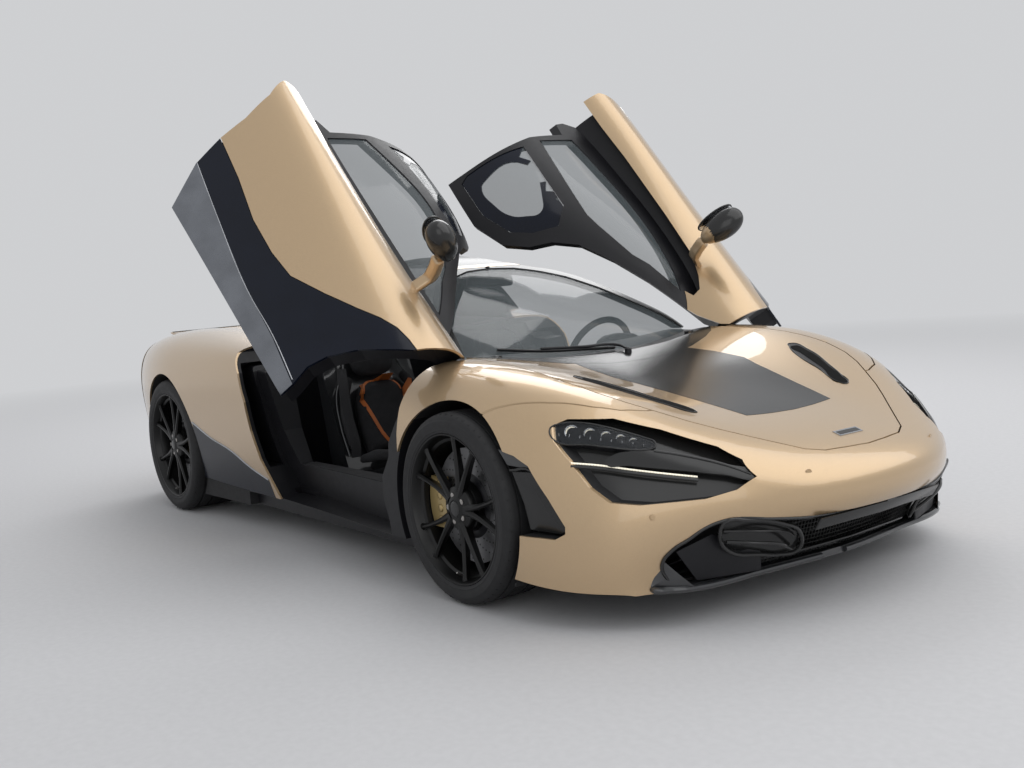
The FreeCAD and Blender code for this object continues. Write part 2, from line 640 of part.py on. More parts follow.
# Running gear.
def draw(item, name, role, loop, raised):
    """Add a closed outline to a body, on its own plane or raised off it."""
    flat = [f for f in item.Origin.OriginFeatures if f.Role == role][0]
    sketch = item.newObject("Sketcher::SketchObject", name)
    sketch.AttachmentSupport = [(flat, "")]
    sketch.MapMode = "FlatFace"
    sketch.AttachmentOffset = Placement(Vector(0, 0, raised), Rotation())
    for (u0, v0), (u1, v1) in zip(loop, loop[1:] + loop[:1]):
        sketch.addGeometry(Part.LineSegment(Vector(u0, v0, 0), Vector(u1, v1, 0)))
    return sketch


def turn(item, name, loop):
    """Turn a section of radii and places across about the body's axle."""
    sketch = draw(item, name + "_section", "XY_Plane", loop, 0)
    step = item.newObject("PartDesign::Revolution", name)
    step.Profile = sketch
    step.ReferenceAxis = (sketch, ["V_Axis"])
    step.Angle = 360
    item.Tip = step
    return step


def spokes(item, name, loop, raised, count):
    """Pad one spoke and repeat it round the axle."""
    sketch = draw(item, name + "_face", "XZ_Plane", loop, raised)
    pad = item.newObject("PartDesign::Pad", name + "_one")
    pad.Profile = sketch
    bound(pad, Length="dims.spoke_depth")
    item.Tip = pad
    axle = [f for f in item.Origin.OriginFeatures if f.Role == "Y_Axis"][0]
    ring = item.newObject("PartDesign::PolarPattern", name)
    ring.Originals = [pad]
    ring.Axis = (axle, [""])
    ring.Angle = 360
    ring.Occurrences = count
    item.Tip = ring
    return ring


def wheel_place(item, end, sign):
    """Stand a body on its axle's place by the named sizes."""
    bound(item, **{".Placement.Base.x": "dims.%s_axle_x" % end,
                   ".Placement.Base.y": "%d * dims.%s_wheel_y" % (sign, end),
                   ".Placement.Base.z": "dims.%s_tyre_radius" % end})


# Tyre and barrel sections: out from the rim radius or the tread, and in from the edge.
for end in ("front", "rear"):
    tread = SIZE[end + "_tyre_radius"]
    rim = SIZE[end + "_rim_radius"]
    disc = SIZE[end + "_disc_radius"]
    half = SIZE[end + "_tyre_width"] / 2.0
    flank = [(rim + 1, half - 9), (rim + 9, half - 4), (rim + 24, half - 1),
             (rim + 42, half), (tread - 18, half - 7), (tread - 8, half - 16),
             (tread - 2, half - 32)]
    tyre_loop = flank + [(tread, 0)] + [(r, -y) for r, y in reversed(flank)]
    barrel_loop = [(rim, half - 9), (rim, 9 - half), (rim - 12, 9 - half),
                   (rim - 34, 30 - half), (rim - 28, half - 40), (rim - 13, half - 9)]
    hub_loop = [(0, half - 14), (60, half - 14), (78, half - 24), (78, half - 55),
                (86, half - 55), (86, half - 86), (disc, half - 86),
                (disc, half - 118), (0, half - 118)]
    for sign, hand in ((-1, "right"), (1, "left")):
        name = "%s_%s" % (end, hand)
        tyre = doc.addObject("PartDesign::Body", "tyre_" + name)
        turn(tyre, "tyre_ring_" + name, [(r, sign * y) for r, y in tyre_loop])
        wheel = doc.addObject("PartDesign::Body", "rim_" + name)
        turn(wheel, "hub_" + name, [(r, sign * y) for r, y in hub_loop])
        low = half - 18 - SIZE["spoke_depth"]
        raised = low if sign < 0 else 18 - half
        for lean in (-1, 1):
            a = math.radians(lean * SIZE["spoke_lean"])
            root = (50, lean * 11)
            tip = ((rim - 18) * math.cos(a), (rim - 18) * math.sin(a))
            across = (-math.sin(a), math.cos(a))
            loop = [(root[0] - 13 * across[0], root[1] - 13 * across[1]),
                    (tip[0] - 12 * across[0], tip[1] - 12 * across[1]),
                    (tip[0] + 12 * across[0], tip[1] + 12 * across[1]),
                    (root[0] + 13 * across[0], root[1] + 13 * across[1])]
            spokes(wheel, "spokes_%s_%s" % (name, "ab"[lean > 0]), loop, raised, 5)
        turn(wheel, "barrel_" + name, [(r, sign * y) for r, y in barrel_loop])
        for item in (tyre, wheel):
            wheel_place(item, end, sign)
            NODES[item.Name] = item


# Arms and uprights: the arms end on the steering axis, under and over the upright.
def across(sign, y0, y1):
    """Give two places across the car in rising order on one side."""
    return min(sign * y0, sign * y1), max(sign * y0, sign * y1)


for sign, hand in ((-1, "right"), (1, "left")):
    x, z = SIZE["front_axle_x"], SIZE["front_tyre_radius"]
    king = SIZE["kingpin_y"]
    face = SIZE["front_wheel_y"] + 4.5 - 0.3
    y0, y1 = across(sign, king - 20, king + 20)
    post = Part.makeCylinder(26, 300, Vector(x, sign * king, z - 150))
    stem = Part.makeCylinder(62, face - king, Vector(x, sign * king, z),
                             Vector(0, sign, 0))
    lug = block(x - 190, x - 60, *across(sign, king - 12, king + 12), z - 40, z + 40)
    keep("knuckle_" + hand, joined([stem, post, lug]))
    y0, y1 = across(sign, king - 4, king + 92)
    jaw = block(x - 214, x - 110, y0, y1, z - 90, z + 90)
    groove = drum(x, *across(sign, king + 26, king + 76), z,
                  SIZE["front_disc_radius"] + 6)
    jaw = jaw.common(drum(x, y0, y1, z, SIZE["front_rim_radius"] - 42))
    keep("caliper_" + hand, less(jaw, [groove, lug]))
# Arm outline from above: ahead of the axle, out from the middle.
ARM = [(-24, 816), (24, 816), (34, 640), (120, 500), (-120, 500), (-34, 640)]
gear = []
for z in (SIZE["front_tyre_radius"] + 150.3, SIZE["front_tyre_radius"] - 164.3):
    loop = [Vector(SIZE["front_axle_x"] + x, -y, z) for x, y in ARM]
    arm = Part.Face(Part.makePolygon(loop + loop[:1])).extrude(Vector(0, 0, 14))
    gear += both(arm.cut(nose))
keep("front_arms", Part.makeCompound(gear))
gear = []
jaws = []
for sign in (-1, 1):
    x, z = SIZE["rear_axle_x"], SIZE["rear_tyre_radius"]
    face = SIZE["rear_wheel_y"] + 34.5 - 0.3
    y0, y1 = across(sign, 600, 640)
    hold = block(x - 60, x + 60, y0, y1, z - 130, z + 130)
    lug = block(x + 60, x + 190, *across(sign, 760, 784), z - 40, z + 40)
    foot = block(x + 20, x + 100, *across(sign, 640, 770), z - 40, z + 40)
    stem = Part.makeCylinder(60, face - 640, Vector(x, sign * 640, z),
                             Vector(0, sign, 0))
    gear.append(joined([hold, stem, lug, foot]))
    jaw = block(x + 110, x + 208, *across(sign, 770, 892), z - 90, z + 90)
    groove = drum(x, *across(sign, 822, 874), z, SIZE["rear_disc_radius"] + 6)
    jaws.append(less(jaw, [groove, gear[-1]]))
keep("rear_uprights", Part.makeCompound(gear))
keep("rear_calipers", Part.makeCompound(jaws))

engine = prim("Box", "engine_block", -1240, -310, 180, Length="dims.engine_length",
              Width="dims.engine_width", Height="dims.engine_height")
NODES["engine_block"] = engine

# Cabin.
dash = side([(560, 560), (660, 520), (790, 560), (790, 650), (700, 745), (560, 720)],
            -620, 620)
column = Part.makeCylinder(28, 160, at(480, 370, 690) + Vector(0.93, 0, -0.37) * 12,
                           Vector(0.93, 0, -0.37))
dash = joined([dash, box(-300, 600, -110, 110, 165, 420), column])
keep("dashboard", less(dash, [tub, roof, nose]))
shells = []
pads = []
for y in (-370, 370):
    shells.append(side([(200, 165), (240, 330), (200, 330), (-150, 250), (-380, 820),
                        (-420, 820), (-300, 165)], y - 235, y + 235))
    pads.append(side([(200, 330), (190, 375), (-110, 320), (-280, 760), (-355.76, 760),
                      (-150, 250)], y - 190, y + 190))
keep("seat_shells", Part.makeCompound(shells))
keep("seat_cushions", less(Part.makeCompound(pads), shells))
ring = doc.addObject("Part::Torus", "wheel_ring")
bound(ring, Radius1="dims.steering_radius", Radius2="dims.steering_tube")
hub = doc.addObject("Part::Cylinder", "wheel_hub")
hub.Radius = 55
hub.Height = 34
hub.Placement = Placement(Vector(0, 0, -11.7), Rotation())
bar = doc.addObject("Part::Box", "wheel_bar")
bar.Length = 20
bar.Width = 350
bar.Height = 12
bar.Placement = Placement(Vector(-10, -175, -6), Rotation())
turner = doc.addObject("Part::MultiFuse", "steering_wheel")
turner.Shapes = [ring, hub, bar]
spot = at(480, 370, 690)
turner.Placement = Placement(spot, Rotation(Vector(0, 0, 1), Vector(-0.93, 0, 0.37)))
NODES["steering_wheel"] = turner
doc.recompute()
bad = [o.Name for o in doc.Objects if "Invalid" in o.State or "Error" in o.State]
for name, item in sorted(NODES.items()):
    if item.Shape.isNull() or not item.Shape.isValid():
        bad.append(name)
if bad:
    raise RuntimeError("unsound: " + ", ".join(bad))
os.makedirs("parts", exist_ok=True)
for name, item in sorted(NODES.items()):
    item.Shape.exportStep("parts/" + name + ".step")
    b = item.Shape.BoundBox
    print("%-20s %2d %8.4f x %6.0f %6.0f y %6.0f %6.0f z %6.0f %6.0f" % (
        name, len(item.Shape.Solids), item.Shape.Volume / 1e9, b.XMin, b.XMax, b.YMin,
        b.YMax, b.ZMin, b.ZMax))
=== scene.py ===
"""Studio scene of a mid-engined sports car whose doors stand open.

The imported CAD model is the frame. This script gives its panels their finishes,
adds the fine pieces that sit on them, pads the seats and lights the car on a
pale floor. Places are written in millimetres, x forward, y left and z up.
"""
from __future__ import annotations

import json
import logging
import math
from collections.abc import Iterable
from dataclasses import dataclass, field
from enum import Enum

import bmesh
import bpy
from mathutils import Matrix, Vector
from mathutils.bvhtree import BVHTree

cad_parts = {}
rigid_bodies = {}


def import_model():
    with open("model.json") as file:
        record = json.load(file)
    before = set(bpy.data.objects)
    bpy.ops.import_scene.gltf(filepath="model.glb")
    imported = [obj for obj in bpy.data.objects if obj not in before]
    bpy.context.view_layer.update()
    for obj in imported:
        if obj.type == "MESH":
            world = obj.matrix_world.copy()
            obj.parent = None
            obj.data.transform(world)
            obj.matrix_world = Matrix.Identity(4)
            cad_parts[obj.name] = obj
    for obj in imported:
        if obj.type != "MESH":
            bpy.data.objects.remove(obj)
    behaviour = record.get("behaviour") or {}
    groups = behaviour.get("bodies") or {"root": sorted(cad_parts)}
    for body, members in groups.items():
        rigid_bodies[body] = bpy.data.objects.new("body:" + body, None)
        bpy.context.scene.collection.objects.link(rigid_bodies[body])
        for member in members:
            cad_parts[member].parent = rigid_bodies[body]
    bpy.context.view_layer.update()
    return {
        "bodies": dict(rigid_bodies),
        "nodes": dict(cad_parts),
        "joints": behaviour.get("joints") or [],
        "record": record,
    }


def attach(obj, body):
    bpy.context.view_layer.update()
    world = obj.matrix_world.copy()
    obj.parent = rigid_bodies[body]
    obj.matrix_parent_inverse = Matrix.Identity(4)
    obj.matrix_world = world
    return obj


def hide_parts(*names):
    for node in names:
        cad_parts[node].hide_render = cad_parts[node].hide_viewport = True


LOG = logging.getLogger("car")
Colour = tuple[float, float, float]
Place = tuple[float, float, float]
UP = Vector((0.0, 0.0, 1.0))
ACROSS = Vector((0.0, 1.0, 0.0))
MIRROR_Y = Matrix.Diagonal((1.0, -1.0, 1.0, 1.0))


class Hand(Enum):
    """The two sides of the car."""

    RIGHT = -1.0
    LEFT = 1.0

    @property
    def word(self) -> str:
        """The side's name in the node names."""
        return self.name.lower()


def mm(*place: float) -> Vector:
    """Give a place in metres from millimetres."""
    return Vector(place) * 0.001


def spots(places: Iterable[Place]) -> list[Vector]:
    """Give places in metres from a row of them in millimetres."""
    return [mm(*place) for place in places]


def corners(geom: list) -> list[bmesh.types.BMVert]:
    """Pick the vertices out of what an operator gives back."""
    return [g for g in geom if isinstance(g, bmesh.types.BMVert)]


def add_object(name: str, data: bpy.types.ID) -> bpy.types.Object:
    """Put a new object with this data in the scene.

    Args:
        name: the object's name.
        data: its mesh, curve, lamp or camera.

    Returns:
        The new object.
    """
    item = bpy.data.objects.new(name, data)
    bpy.context.collection.objects.link(item)
    return item


def evaluated(item: bpy.types.Object) -> bpy.types.Object:
    """Give an object as it stands with its modifiers applied."""
    bpy.context.view_layer.update()
    return item.evaluated_get(bpy.context.evaluated_depsgraph_get())


class Nodes:
    """A short way to build one material's node tree."""

    def __init__(self, name: str) -> None:
        """Start a material.

        Args:
            name: the material's name.
        """
        self.material = bpy.data.materials.new(name)
        self.material.use_nodes = True
        self.tree = self.material.node_tree
        self.shader = self.tree.nodes["Principled BSDF"]
        self.place = self.tree.nodes.new("ShaderNodeTexCoord").outputs["Object"]

    def add(self, kind: str, **values: object) -> bpy.types.Node:
        """Add a node and set its properties and inputs by name.

        Args:
            kind: the node's type without its prefix.
            values: property or input names, with underscores for spaces.

        Returns:
            The new node.
        """
        node = self.tree.nodes.new("ShaderNode" + kind)
        for key, value in values.items():
            label = key.replace("_", " ")
            if hasattr(node, key):
                setattr(node, key, value)
            elif label in node.inputs:
                node.inputs[label].default_value = value
        return node

    def link(self, source: object, target: object) -> None:
        """Join an output socket to an input socket."""
        self.tree.links.new(source, target)

    def noise(self, scale: float, detail: float = 3.0) -> object:
        """Give a noise pattern on object coordinates.

        Args:
            scale: repeats for each metre.
            detail: how fine the noise is.

        Returns:
            The noise's factor socket.
        """
        node = self.add("TexNoise", Scale=scale, Detail=detail)
        self.link(self.place, node.inputs["Vector"])
        return node.outputs["Fac"]

    def waves(self, way: Place, pitch: float) -> object:
        """Give a wave along a direction.

        Args:
            way: the direction that the wave runs along.
            pitch: the wave's length in metres.

        Returns:
            A socket that goes from -1 to 1.
        """
        along = self.add("VectorMath", operation="DOT_PRODUCT")
        self.link(self.place, along.inputs[0])
        along.inputs[1].default_value = Vector(way) * (2.0 * math.pi / pitch)
        wave = self.add("Math", operation="SINE")
        self.link(along.outputs["Value"], wave.inputs[0])
        return wave.outputs["Value"]

    def mixed(self, a: object, b: object, way: str) -> object:
        """Combine two numbers.

        Args:
            a: the first number's socket.
            b: the second number's socket.
            way: the name of the operation.

        Returns:
            The result's socket.
        """
        node = self.add("Math", operation=way)
        self.link(a, node.inputs[0])
        self.link(b, node.inputs[1])
        return node.outputs["Value"]

    def ramp(self, source: object, low: float, high: float, a: Colour,
             b: Colour) -> object:
        """Turn a factor into a run between two colours.

        Args:
            source: the factor socket.
            low: the factor that gives the first colour.
            high: the factor that gives the second colour.
            a: the first colour.
            b: the second colour.

        Returns:
            The colour socket.
        """
        node = self.add("ValToRGB")
        stops = node.color_ramp.elements
        stops[0].position, stops[1].position = low, high
        stops[0].color, stops[1].color = (*a, 1.0), (*b, 1.0)
        self.link(source, node.inputs["Fac"])
        return node.outputs["Color"]

    def span(self, source: object, low: float, high: float) -> object:
        """Stretch a factor from 0..1 to a range.

        Args:
            source: the factor's socket.
            low: what 0 becomes.
            high: what 1 becomes.

        Returns:
            The stretched factor's socket.
        """
        node = self.add("MapRange")
        node.inputs["To Min"].default_value = low
        node.inputs["To Max"].default_value = high
        self.link(source, node.inputs["Value"])
        return node.outputs["Result"]

    def bump(self, source: object, depth: float, strength: float = 0.5) -> None:
        """Raise the surface by a pattern.

        Args:
            source: the height socket.
            depth: the height in metres.
            strength: how much of it shows.
        """
        node = self.add("Bump", Distance=depth, Strength=strength)
        self.link(source, node.inputs["Height"])
        self.feed(node.outputs["Normal"], "Normal")

    def feed(self, source: object, name: str) -> None:
        """Join a socket to one of the shader's own inputs."""
        self.link(source, self.shader.inputs[name])

    def set(self, **values: object) -> None:
        """Set the shader's own sockets.

        Args:
            values: socket names with underscores for spaces, and their values.
        """
        for key, value in values.items():
            if isinstance(value, tuple) and len(value) == 3:
                value = (*value, 1.0)
            self.shader.inputs[key.replace("_", " ")].default_value = value


@dataclass(frozen=True)
class Finish:
    """A coloured surface with uneven gloss and a fine grain."""

    name: str
    colour: Colour
    roughness: float = 0.5
    metallic: float = 0.0
    grain: float = 400.0
    depth: float = 0.0001
    coat: float = 0.0
    vary: float = 0.12
    shine: float = 0.5

    def base(self, nodes: Nodes) -> None:
        """Set colour and gloss, with slow variation over the surface.

        Args:
            nodes: the material's nodes.
        """
        nodes.feed(nodes.ramp(nodes.noise(9.0), 0.3, 0.7, *self.tones(self.vary)),
                   "Base Color")
        nodes.feed(nodes.span(nodes.noise(35.0), self.roughness * 0.85,
                              min(1.0, self.roughness * 1.15)), "Roughness")
        nodes.set(Metallic=self.metallic, Coat_Weight=self.coat, Coat_Roughness=0.03,
                  Specular_IOR_Level=self.shine)

    def detail(self, nodes: Nodes) -> None:
        """Add the surface's grain."""
        nodes.bump(nodes.noise(self.grain, 6.0), self.depth)

    def tones(self, spread: float) -> tuple[Colour, Colour]:
        """Give a darker and a lighter tone, each a share away from the colour."""
        return (tuple(c * (1.0 - spread) for c in self.colour),
                tuple(min(1.0, c * (1.0 + spread)) for c in self.colour))

    def build(self) -> bpy.types.Material:
        """Give the material, made on its first use."""
        ready = bpy.data.materials.get(self.name)
        if ready:
            return ready
        nodes = Nodes(self.name)
        self.base(nodes)
        self.detail(nodes)
        return nodes.material


@dataclass(frozen=True)
class MetallicPaint(Finish):
    """Flake paint under a clear coat."""

    def base(self, nodes: Nodes) -> None:
        """Mix bright and deep flakes cell by cell.

        Args:
            nodes: the material's nodes.
        """
        cells = nodes.add("TexVoronoi", Scale=2600.0)
        nodes.link(nodes.place, cells.inputs["Vector"])
        tone = nodes.add("SeparateColor")
        nodes.link(cells.outputs["Color"], tone.inputs["Color"])
        nodes.feed(nodes.ramp(tone.outputs["Red"], 0.0, 1.0, *self.tones(0.16)),
                   "Base Color")
        nodes.set(Metallic=self.metallic, Roughness=self.roughness, Coat_Weight=1.0,
                  Coat_Roughness=0.02)

    def detail(self, nodes: Nodes) -> None:
        """Leave a very faint ripple under the coat."""
        nodes.bump(nodes.noise(60.0, 2.0), 0.00004, 0.3)


@dataclass(frozen=True)
class Woven(Finish):
    """A weave of two crossing waves: cloth, carbon fibre or a fine mesh."""

    pitch: float = 0.004
    way_a: Place = (0.7, 0.7, 0.2)
    way_b: Place = (-0.5, 0.6, 0.75)
    contrast: float = 0.5

    def threads(self, nodes: Nodes) -> object:
        """Give the weave's socket, from -1 to 1."""
        return nodes.mixed(nodes.waves(self.way_a, self.pitch),
                           nodes.waves(self.way_b, self.pitch), "MULTIPLY")

    def base(self, nodes: Nodes) -> None:
        """Lay light and dark cells by the weave."""
        nodes.feed(nodes.ramp(nodes.span(self.threads(nodes), 0.5, 1.0), 0.25, 0.75,
                              *self.tones(self.contrast)), "Base Color")
        nodes.set(Metallic=self.metallic, Roughness=self.roughness,
                  Coat_Weight=self.coat, Coat_Roughness=0.04)

    def detail(self, nodes: Nodes) -> None:
        """Raise the threads."""
        nodes.bump(self.threads(nodes), self.depth, 0.35)


@dataclass(frozen=True)
class Ringed(Finish):
    """Metal turned or ground in rings about a wheel's axle."""

    pitch: float = 0.0016

    def detail(self, nodes: Nodes) -> None:
        """Cut fine grooves into the face."""
        nodes.bump(nodes.waves((0.0, 0.0, 1.0), self.pitch), self.depth, 0.3)


@dataclass(frozen=True)
class Tyre(Finish):
    """Rubber with fine ribs on the flank."""

    def detail(self, nodes: Nodes) -> None:
        """Add the fine grain and shallow ribs across."""
        ribs = nodes.waves((0.0, 1.0, 0.0), 0.0045)
        nodes.bump(nodes.mixed(nodes.noise(self.grain, 4.0), ribs, "ADD"), 0.0002, 0.35)


@dataclass(frozen=True)
class Glass(Finish):
    """Window or lamp glass."""

    alpha: float = 0.35

    def base(self, nodes: Nodes) -> None:
        """Make a thin see-through pane with a slow change of tint.

        Args:
            nodes: the material's nodes.
        """
        nodes.set(Roughness=self.roughness, Alpha=self.alpha, IOR=1.5,
                  Specular_IOR_Level=0.25)
        edge = tuple(c * 1.3 for c in self.colour)
        nodes.feed(nodes.ramp(nodes.noise(2.0, 1.0), 0.3, 0.7, self.colour, edge),
                   "Base Color")
        nodes.material.surface_render_method = "BLENDED"

    def detail(self, nodes: Nodes) -> None:
        """Leave a very slow ripple in the pane."""
        nodes.bump(nodes.noise(12.0, 1.0), 0.00005, 0.1)


@dataclass(frozen=True)
class Lit(Finish):
    """A lamp's glowing strip with cells along it."""

    glow: float = 3.0
    pitch: float = 0.007

    def detail(self, nodes: Nodes) -> None:
        """Let the cells glow.

        Args:
            nodes: the material's nodes.
        """
        cells = nodes.span(nodes.waves((0.6, 0.75, -0.1), self.pitch), 0.35, 1.0)
        dim = tuple(c * 0.35 for c in self.colour)
        nodes.feed(nodes.ramp(cells, 0.2, 0.7, dim, self.colour), "Emission Color")
        nodes.set(Emission_Strength=self.glow)


GOLD = MetallicPaint("champagne_paint", (0.56, 0.40, 0.235), 0.34, 0.72)
GOLD_FLAT = Finish("champagne_plastic", (0.47, 0.33, 0.19), 0.35, 0.5, coat=0.6)
NAVY = Finish("gloss_navy_black", (0.004, 0.006, 0.013), 0.16, coat=0.08, depth=0.00002,
              shine=0.22)
BLACK = Finish("gloss_black", (0.004, 0.004, 0.005), 0.13, coat=0.12, depth=0.00002,
               shine=0.25)
WHEEL = Finish("wheel_black", (0.012, 0.012, 0.013), 0.22, 0.35, coat=0.7,
               depth=0.00002)
SATIN = Finish("satin_black", (0.009, 0.009, 0.011), 0.42, shine=0.3)
# Painted shade: a near-black matte finish for the shade inside the bonnet vents' slits.
SLIT_SHADE = Finish("deep_black", (0.003, 0.003, 0.003), 0.8, shine=0.1)
# Dark structure, and also painted shade: the dark spots for the discs' drilled holes and
# the slivers for the tyres' shoulder cuts.
SHADE = Finish("dark_structure", (0.010, 0.010, 0.011), 0.7)
CARBON = Woven("carbon_fibre", (0.020, 0.021, 0.023), 0.30, 0.2, coat=1.0,
               depth=0.00003, pitch=0.0042)
SILVER = Finish("silver_trim", (0.42, 0.43, 0.45), 0.26, 0.9, depth=0.00003)
BLADE = Finish("silver_blade", (0.20, 0.21, 0.23), 0.28, 0.9, depth=0.00003)
GLASS = Glass("window_glass", (0.018, 0.022, 0.024), 0.02, alpha=0.40)
LENS = Glass("lamp_glass", (0.05, 0.055, 0.06), 0.02, alpha=0.16)
SEAL = Finish("seal_rubber", (0.012, 0.012, 0.013), 0.5, grain=1500.0, depth=0.00005)
RUBBER = Tyre("tyre_rubber", (0.010, 0.010, 0.011), 0.66, grain=900.0)
CAST = Finish("cast_grey", (0.12, 0.12, 0.125), 0.5, 0.6)
DISC = Ringed("brake_disc", (0.20, 0.20, 0.205), 0.32, 0.9, depth=0.0002)
BRASS = Finish("caliper_gold", (0.42, 0.31, 0.13), 0.35, 0.6, coat=0.5)
STEEL = Finish("brushed_steel", (0.42, 0.40, 0.38), 0.28, 1.0)
HOT_STEEL = Finish("heated_steel", (0.34, 0.28, 0.24), 0.3, 1.0, vary=0.3)
LEATHER = Finish("dark_leather", (0.015, 0.014, 0.015), 0.5, grain=520.0, depth=0.00015)
SUEDE = Finish("suede_black", (0.013, 0.013, 0.015), 0.92, grain=900.0, depth=0.00012,
               vary=0.3)
CARPET = Finish("carpet_black", (0.012, 0.012, 0.014), 0.97, grain=700.0, depth=0.0004,
                vary=0.35)
ORANGE = Finish("orange_leather", (0.44, 0.115, 0.018), 0.5, grain=700.0, depth=0.0003)
THREAD = Finish("thread_orange", (0.50, 0.16, 0.03), 0.7, grain=2500.0)
WEBBING = Woven("belt_webbing", (0.014, 0.014, 0.016), 0.75, pitch=0.0016, depth=0.0002)
GRILLE = Woven("grille_black", (0.012, 0.012, 0.012), 0.5, pitch=0.010, depth=0.0003,
               contrast=0.2)
SCREEN = Finish("display_glass", (0.006, 0.007, 0.009), 0.06, coat=1.0, depth=0.00001)
LAMP_RED = Lit("lamp_red", (0.55, 0.012, 0.008), 0.15, coat=1.0, glow=0.5, pitch=0.02)
LAMP_WHITE = Lit("lamp_white", (0.85, 0.80, 0.66), 0.2, glow=0.7, pitch=0.0085)
PLATE = Finish("blank_plate", (0.5, 0.5, 0.49), 0.4)
CHROME = Finish("lamp_chrome", (0.62, 0.64, 0.66), 0.12, 1.0, depth=0.00005)
MIRROR = Finish("mirror_glass", (0.72, 0.74, 0.76), 0.02, 1.0, depth=0.000001,
                vary=0.02)


class Form:
    """A piece's mesh while it is being made."""

    def __init__(self, mesh: bmesh.types.BMesh | None = None) -> None:
        """Start with a mesh, or with an empty one."""
        self.mesh = bmesh.new() if mesh is None else mesh

    def clean(self) -> Form:
        """Delete the vertices that no face uses, and give the form."""
        loose = [v for v in self.mesh.verts if not v.link_faces]
        bmesh.ops.delete(self.mesh, geom=loose, context="VERTS")
        return self

    def plate(self, outline: list[Vector], push: Vector, bevel: float = 0.0,
              steps: int = 2) -> Form:
        """Raise a closed plate from an outline.

        Args:
            outline: the corners of one face, in metres.
            push: where the other face lies from the first.
            bevel: the width of its rounded edges.
            steps: how many flats round an edge.

        Returns:
            The form itself.
        """
        first = [self.mesh.verts.new(p) for p in outline]
        face = self.mesh.faces.new(first)
        moved = corners(bmesh.ops.extrude_face_region(self.mesh, geom=[face])["geom"])
        bmesh.ops.translate(self.mesh, verts=moved, vec=push)
        if bevel > 0.0:
            edges = list({e for v in first + moved for e in v.link_edges})
            bmesh.ops.bevel(self.mesh, geom=edges, offset=bevel, segments=steps,
                            profile=0.5, affect="EDGES", material=-1,
                            clamp_overlap=True)
        return self

    def block(self, low: Place, high: Place, bevel: float = 0.0,
              steps: int = 2) -> Form:
        """Add a box.

        Args:
            low: its lowest corner, in millimetres.
            high: the corner across, in millimetres.
            bevel: the width of its rounded edges.
            steps: how many flats round an edge.

        Returns:
            The form itself.
        """
        x0, y0, z0 = low
        x1, y1, z1 = high
        base = [mm(x0, y0, z0), mm(x1, y0, z0), mm(x1, y1, z0), mm(x0, y1, z0)]
        return self.plate(base, mm(0, 0, z1 - z0), bevel, steps)

    def rod(self, start: Vector, end: Vector, radius: float, tip: float | None = None,
            steps: int = 20) -> Form:
        """Add a round bar or cone.

        Args:
            start: the middle of one end.
            end: the middle of the other.
            radius: the radius at the start.
            tip: the radius at the end, if another.
            steps: how many flats round it.

        Returns:
            The form itself.
        """
        along = end - start
        turn = along.to_track_quat("Z", "Y").to_matrix().to_4x4()
        bmesh.ops.create_cone(self.mesh, cap_ends=True, segments=steps, radius1=radius,
                              radius2=radius if tip is None else tip,
                              depth=along.length,
                              matrix=Matrix.Translation((start + end) / 2) @ turn)
        return self

    def ball(self, centre: Vector, radius: float, steps: int = 16) -> Form:
        """Add a ball with so many flats round it, and give the form."""
        bmesh.ops.create_uvsphere(self.mesh, u_segments=steps, v_segments=steps // 2,
                                  radius=radius, matrix=Matrix.Translation(centre))
        return self

    def lathe(self, section: list[tuple[float, float]], centre: Vector, axis: Vector,
              steps: int = 48, ring: bool = False) -> Form:
        """Spin a section about an axle.

        Args:
            section: radius and place along the axle of each point, in millimetres.
            centre: the axle's start, in metres.
            axis: the axle's direction.
            steps: how many flats round it.
            ring: whether the section closes on itself.

        Returns:
            The form itself.
        """
        axis = axis.normalized()
        out = axis.orthogonal().normalized()
        row = [self.mesh.verts.new(centre + axis * (a * 0.001) + out * (r * 0.001))
               for r, a in section]
        pairs = list(zip(row, row[1:] + row[:1])) if ring else list(zip(row, row[1:]))
        edges = [self.mesh.edges.new(pair) for pair in pairs]
        bmesh.ops.spin(self.mesh, geom=row + edges, cent=centre, axis=axis,
                       angle=2.0 * math.pi, steps=steps, use_merge=True)
        bmesh.ops.remove_doubles(self.mesh, verts=self.mesh.verts, dist=1e-6)
        return self

    def rail(self, points: list[Vector], radius: float, closed: bool = False,
             steps: int = 6, sides: int = 2) -> Form:
        """Add a round rail along a smooth line through points.

        Args:
            points: the places that it passes, in metres.
            radius: the rail's radius.
            closed: whether its ends meet.
            steps: divisions between two points.
            sides: how round it is.

        Returns:
            The form itself.
        """
        line = Curve(points, closed, steps)
        line.data.bevel_depth = radius
        line.data.bevel_resolution = sides
        line.data.use_fill_caps = not closed
        self.mesh.from_mesh(line.mesh())
        return self

    def ribbon(self, rows: list[list[Vector]]) -> Form:
        """Run a strap through rows of four corners, open at its ends.

        Args:
            rows: the under and upper corner of one edge, then of the other.

        Returns:
            The form itself.
        """
        made = [[self.mesh.verts.new(place) for place in row] for row in rows]
        for one, two in zip(made, made[1:]):
            for a, b in ((0, 2), (1, 3), (0, 1), (2, 3)):
                self.mesh.faces.new((one[a], one[b], two[b], two[a]))
        return self

    def all(self) -> list:
        """Give every vertex, edge and face that is there."""
        return [*self.mesh.verts, *self.mesh.edges, *self.mesh.faces]

    def repeat(self, count: int, axis: Vector) -> Form:
        """Copy all that is there round an axle through the origin.

        Args:
            count: how many there are in the end.
            axis: the axle's direction.

        Returns:
            The form itself.
        """
        first = self.all()
        for step in range(1, count):
            made = bmesh.ops.duplicate(self.mesh, geom=first)["geom"]
            turn = Matrix.Rotation(2.0 * math.pi * step / count, 3, axis)
            bmesh.ops.rotate(self.mesh, cent=Vector(), matrix=turn,
                             verts=corners(made))
        return self

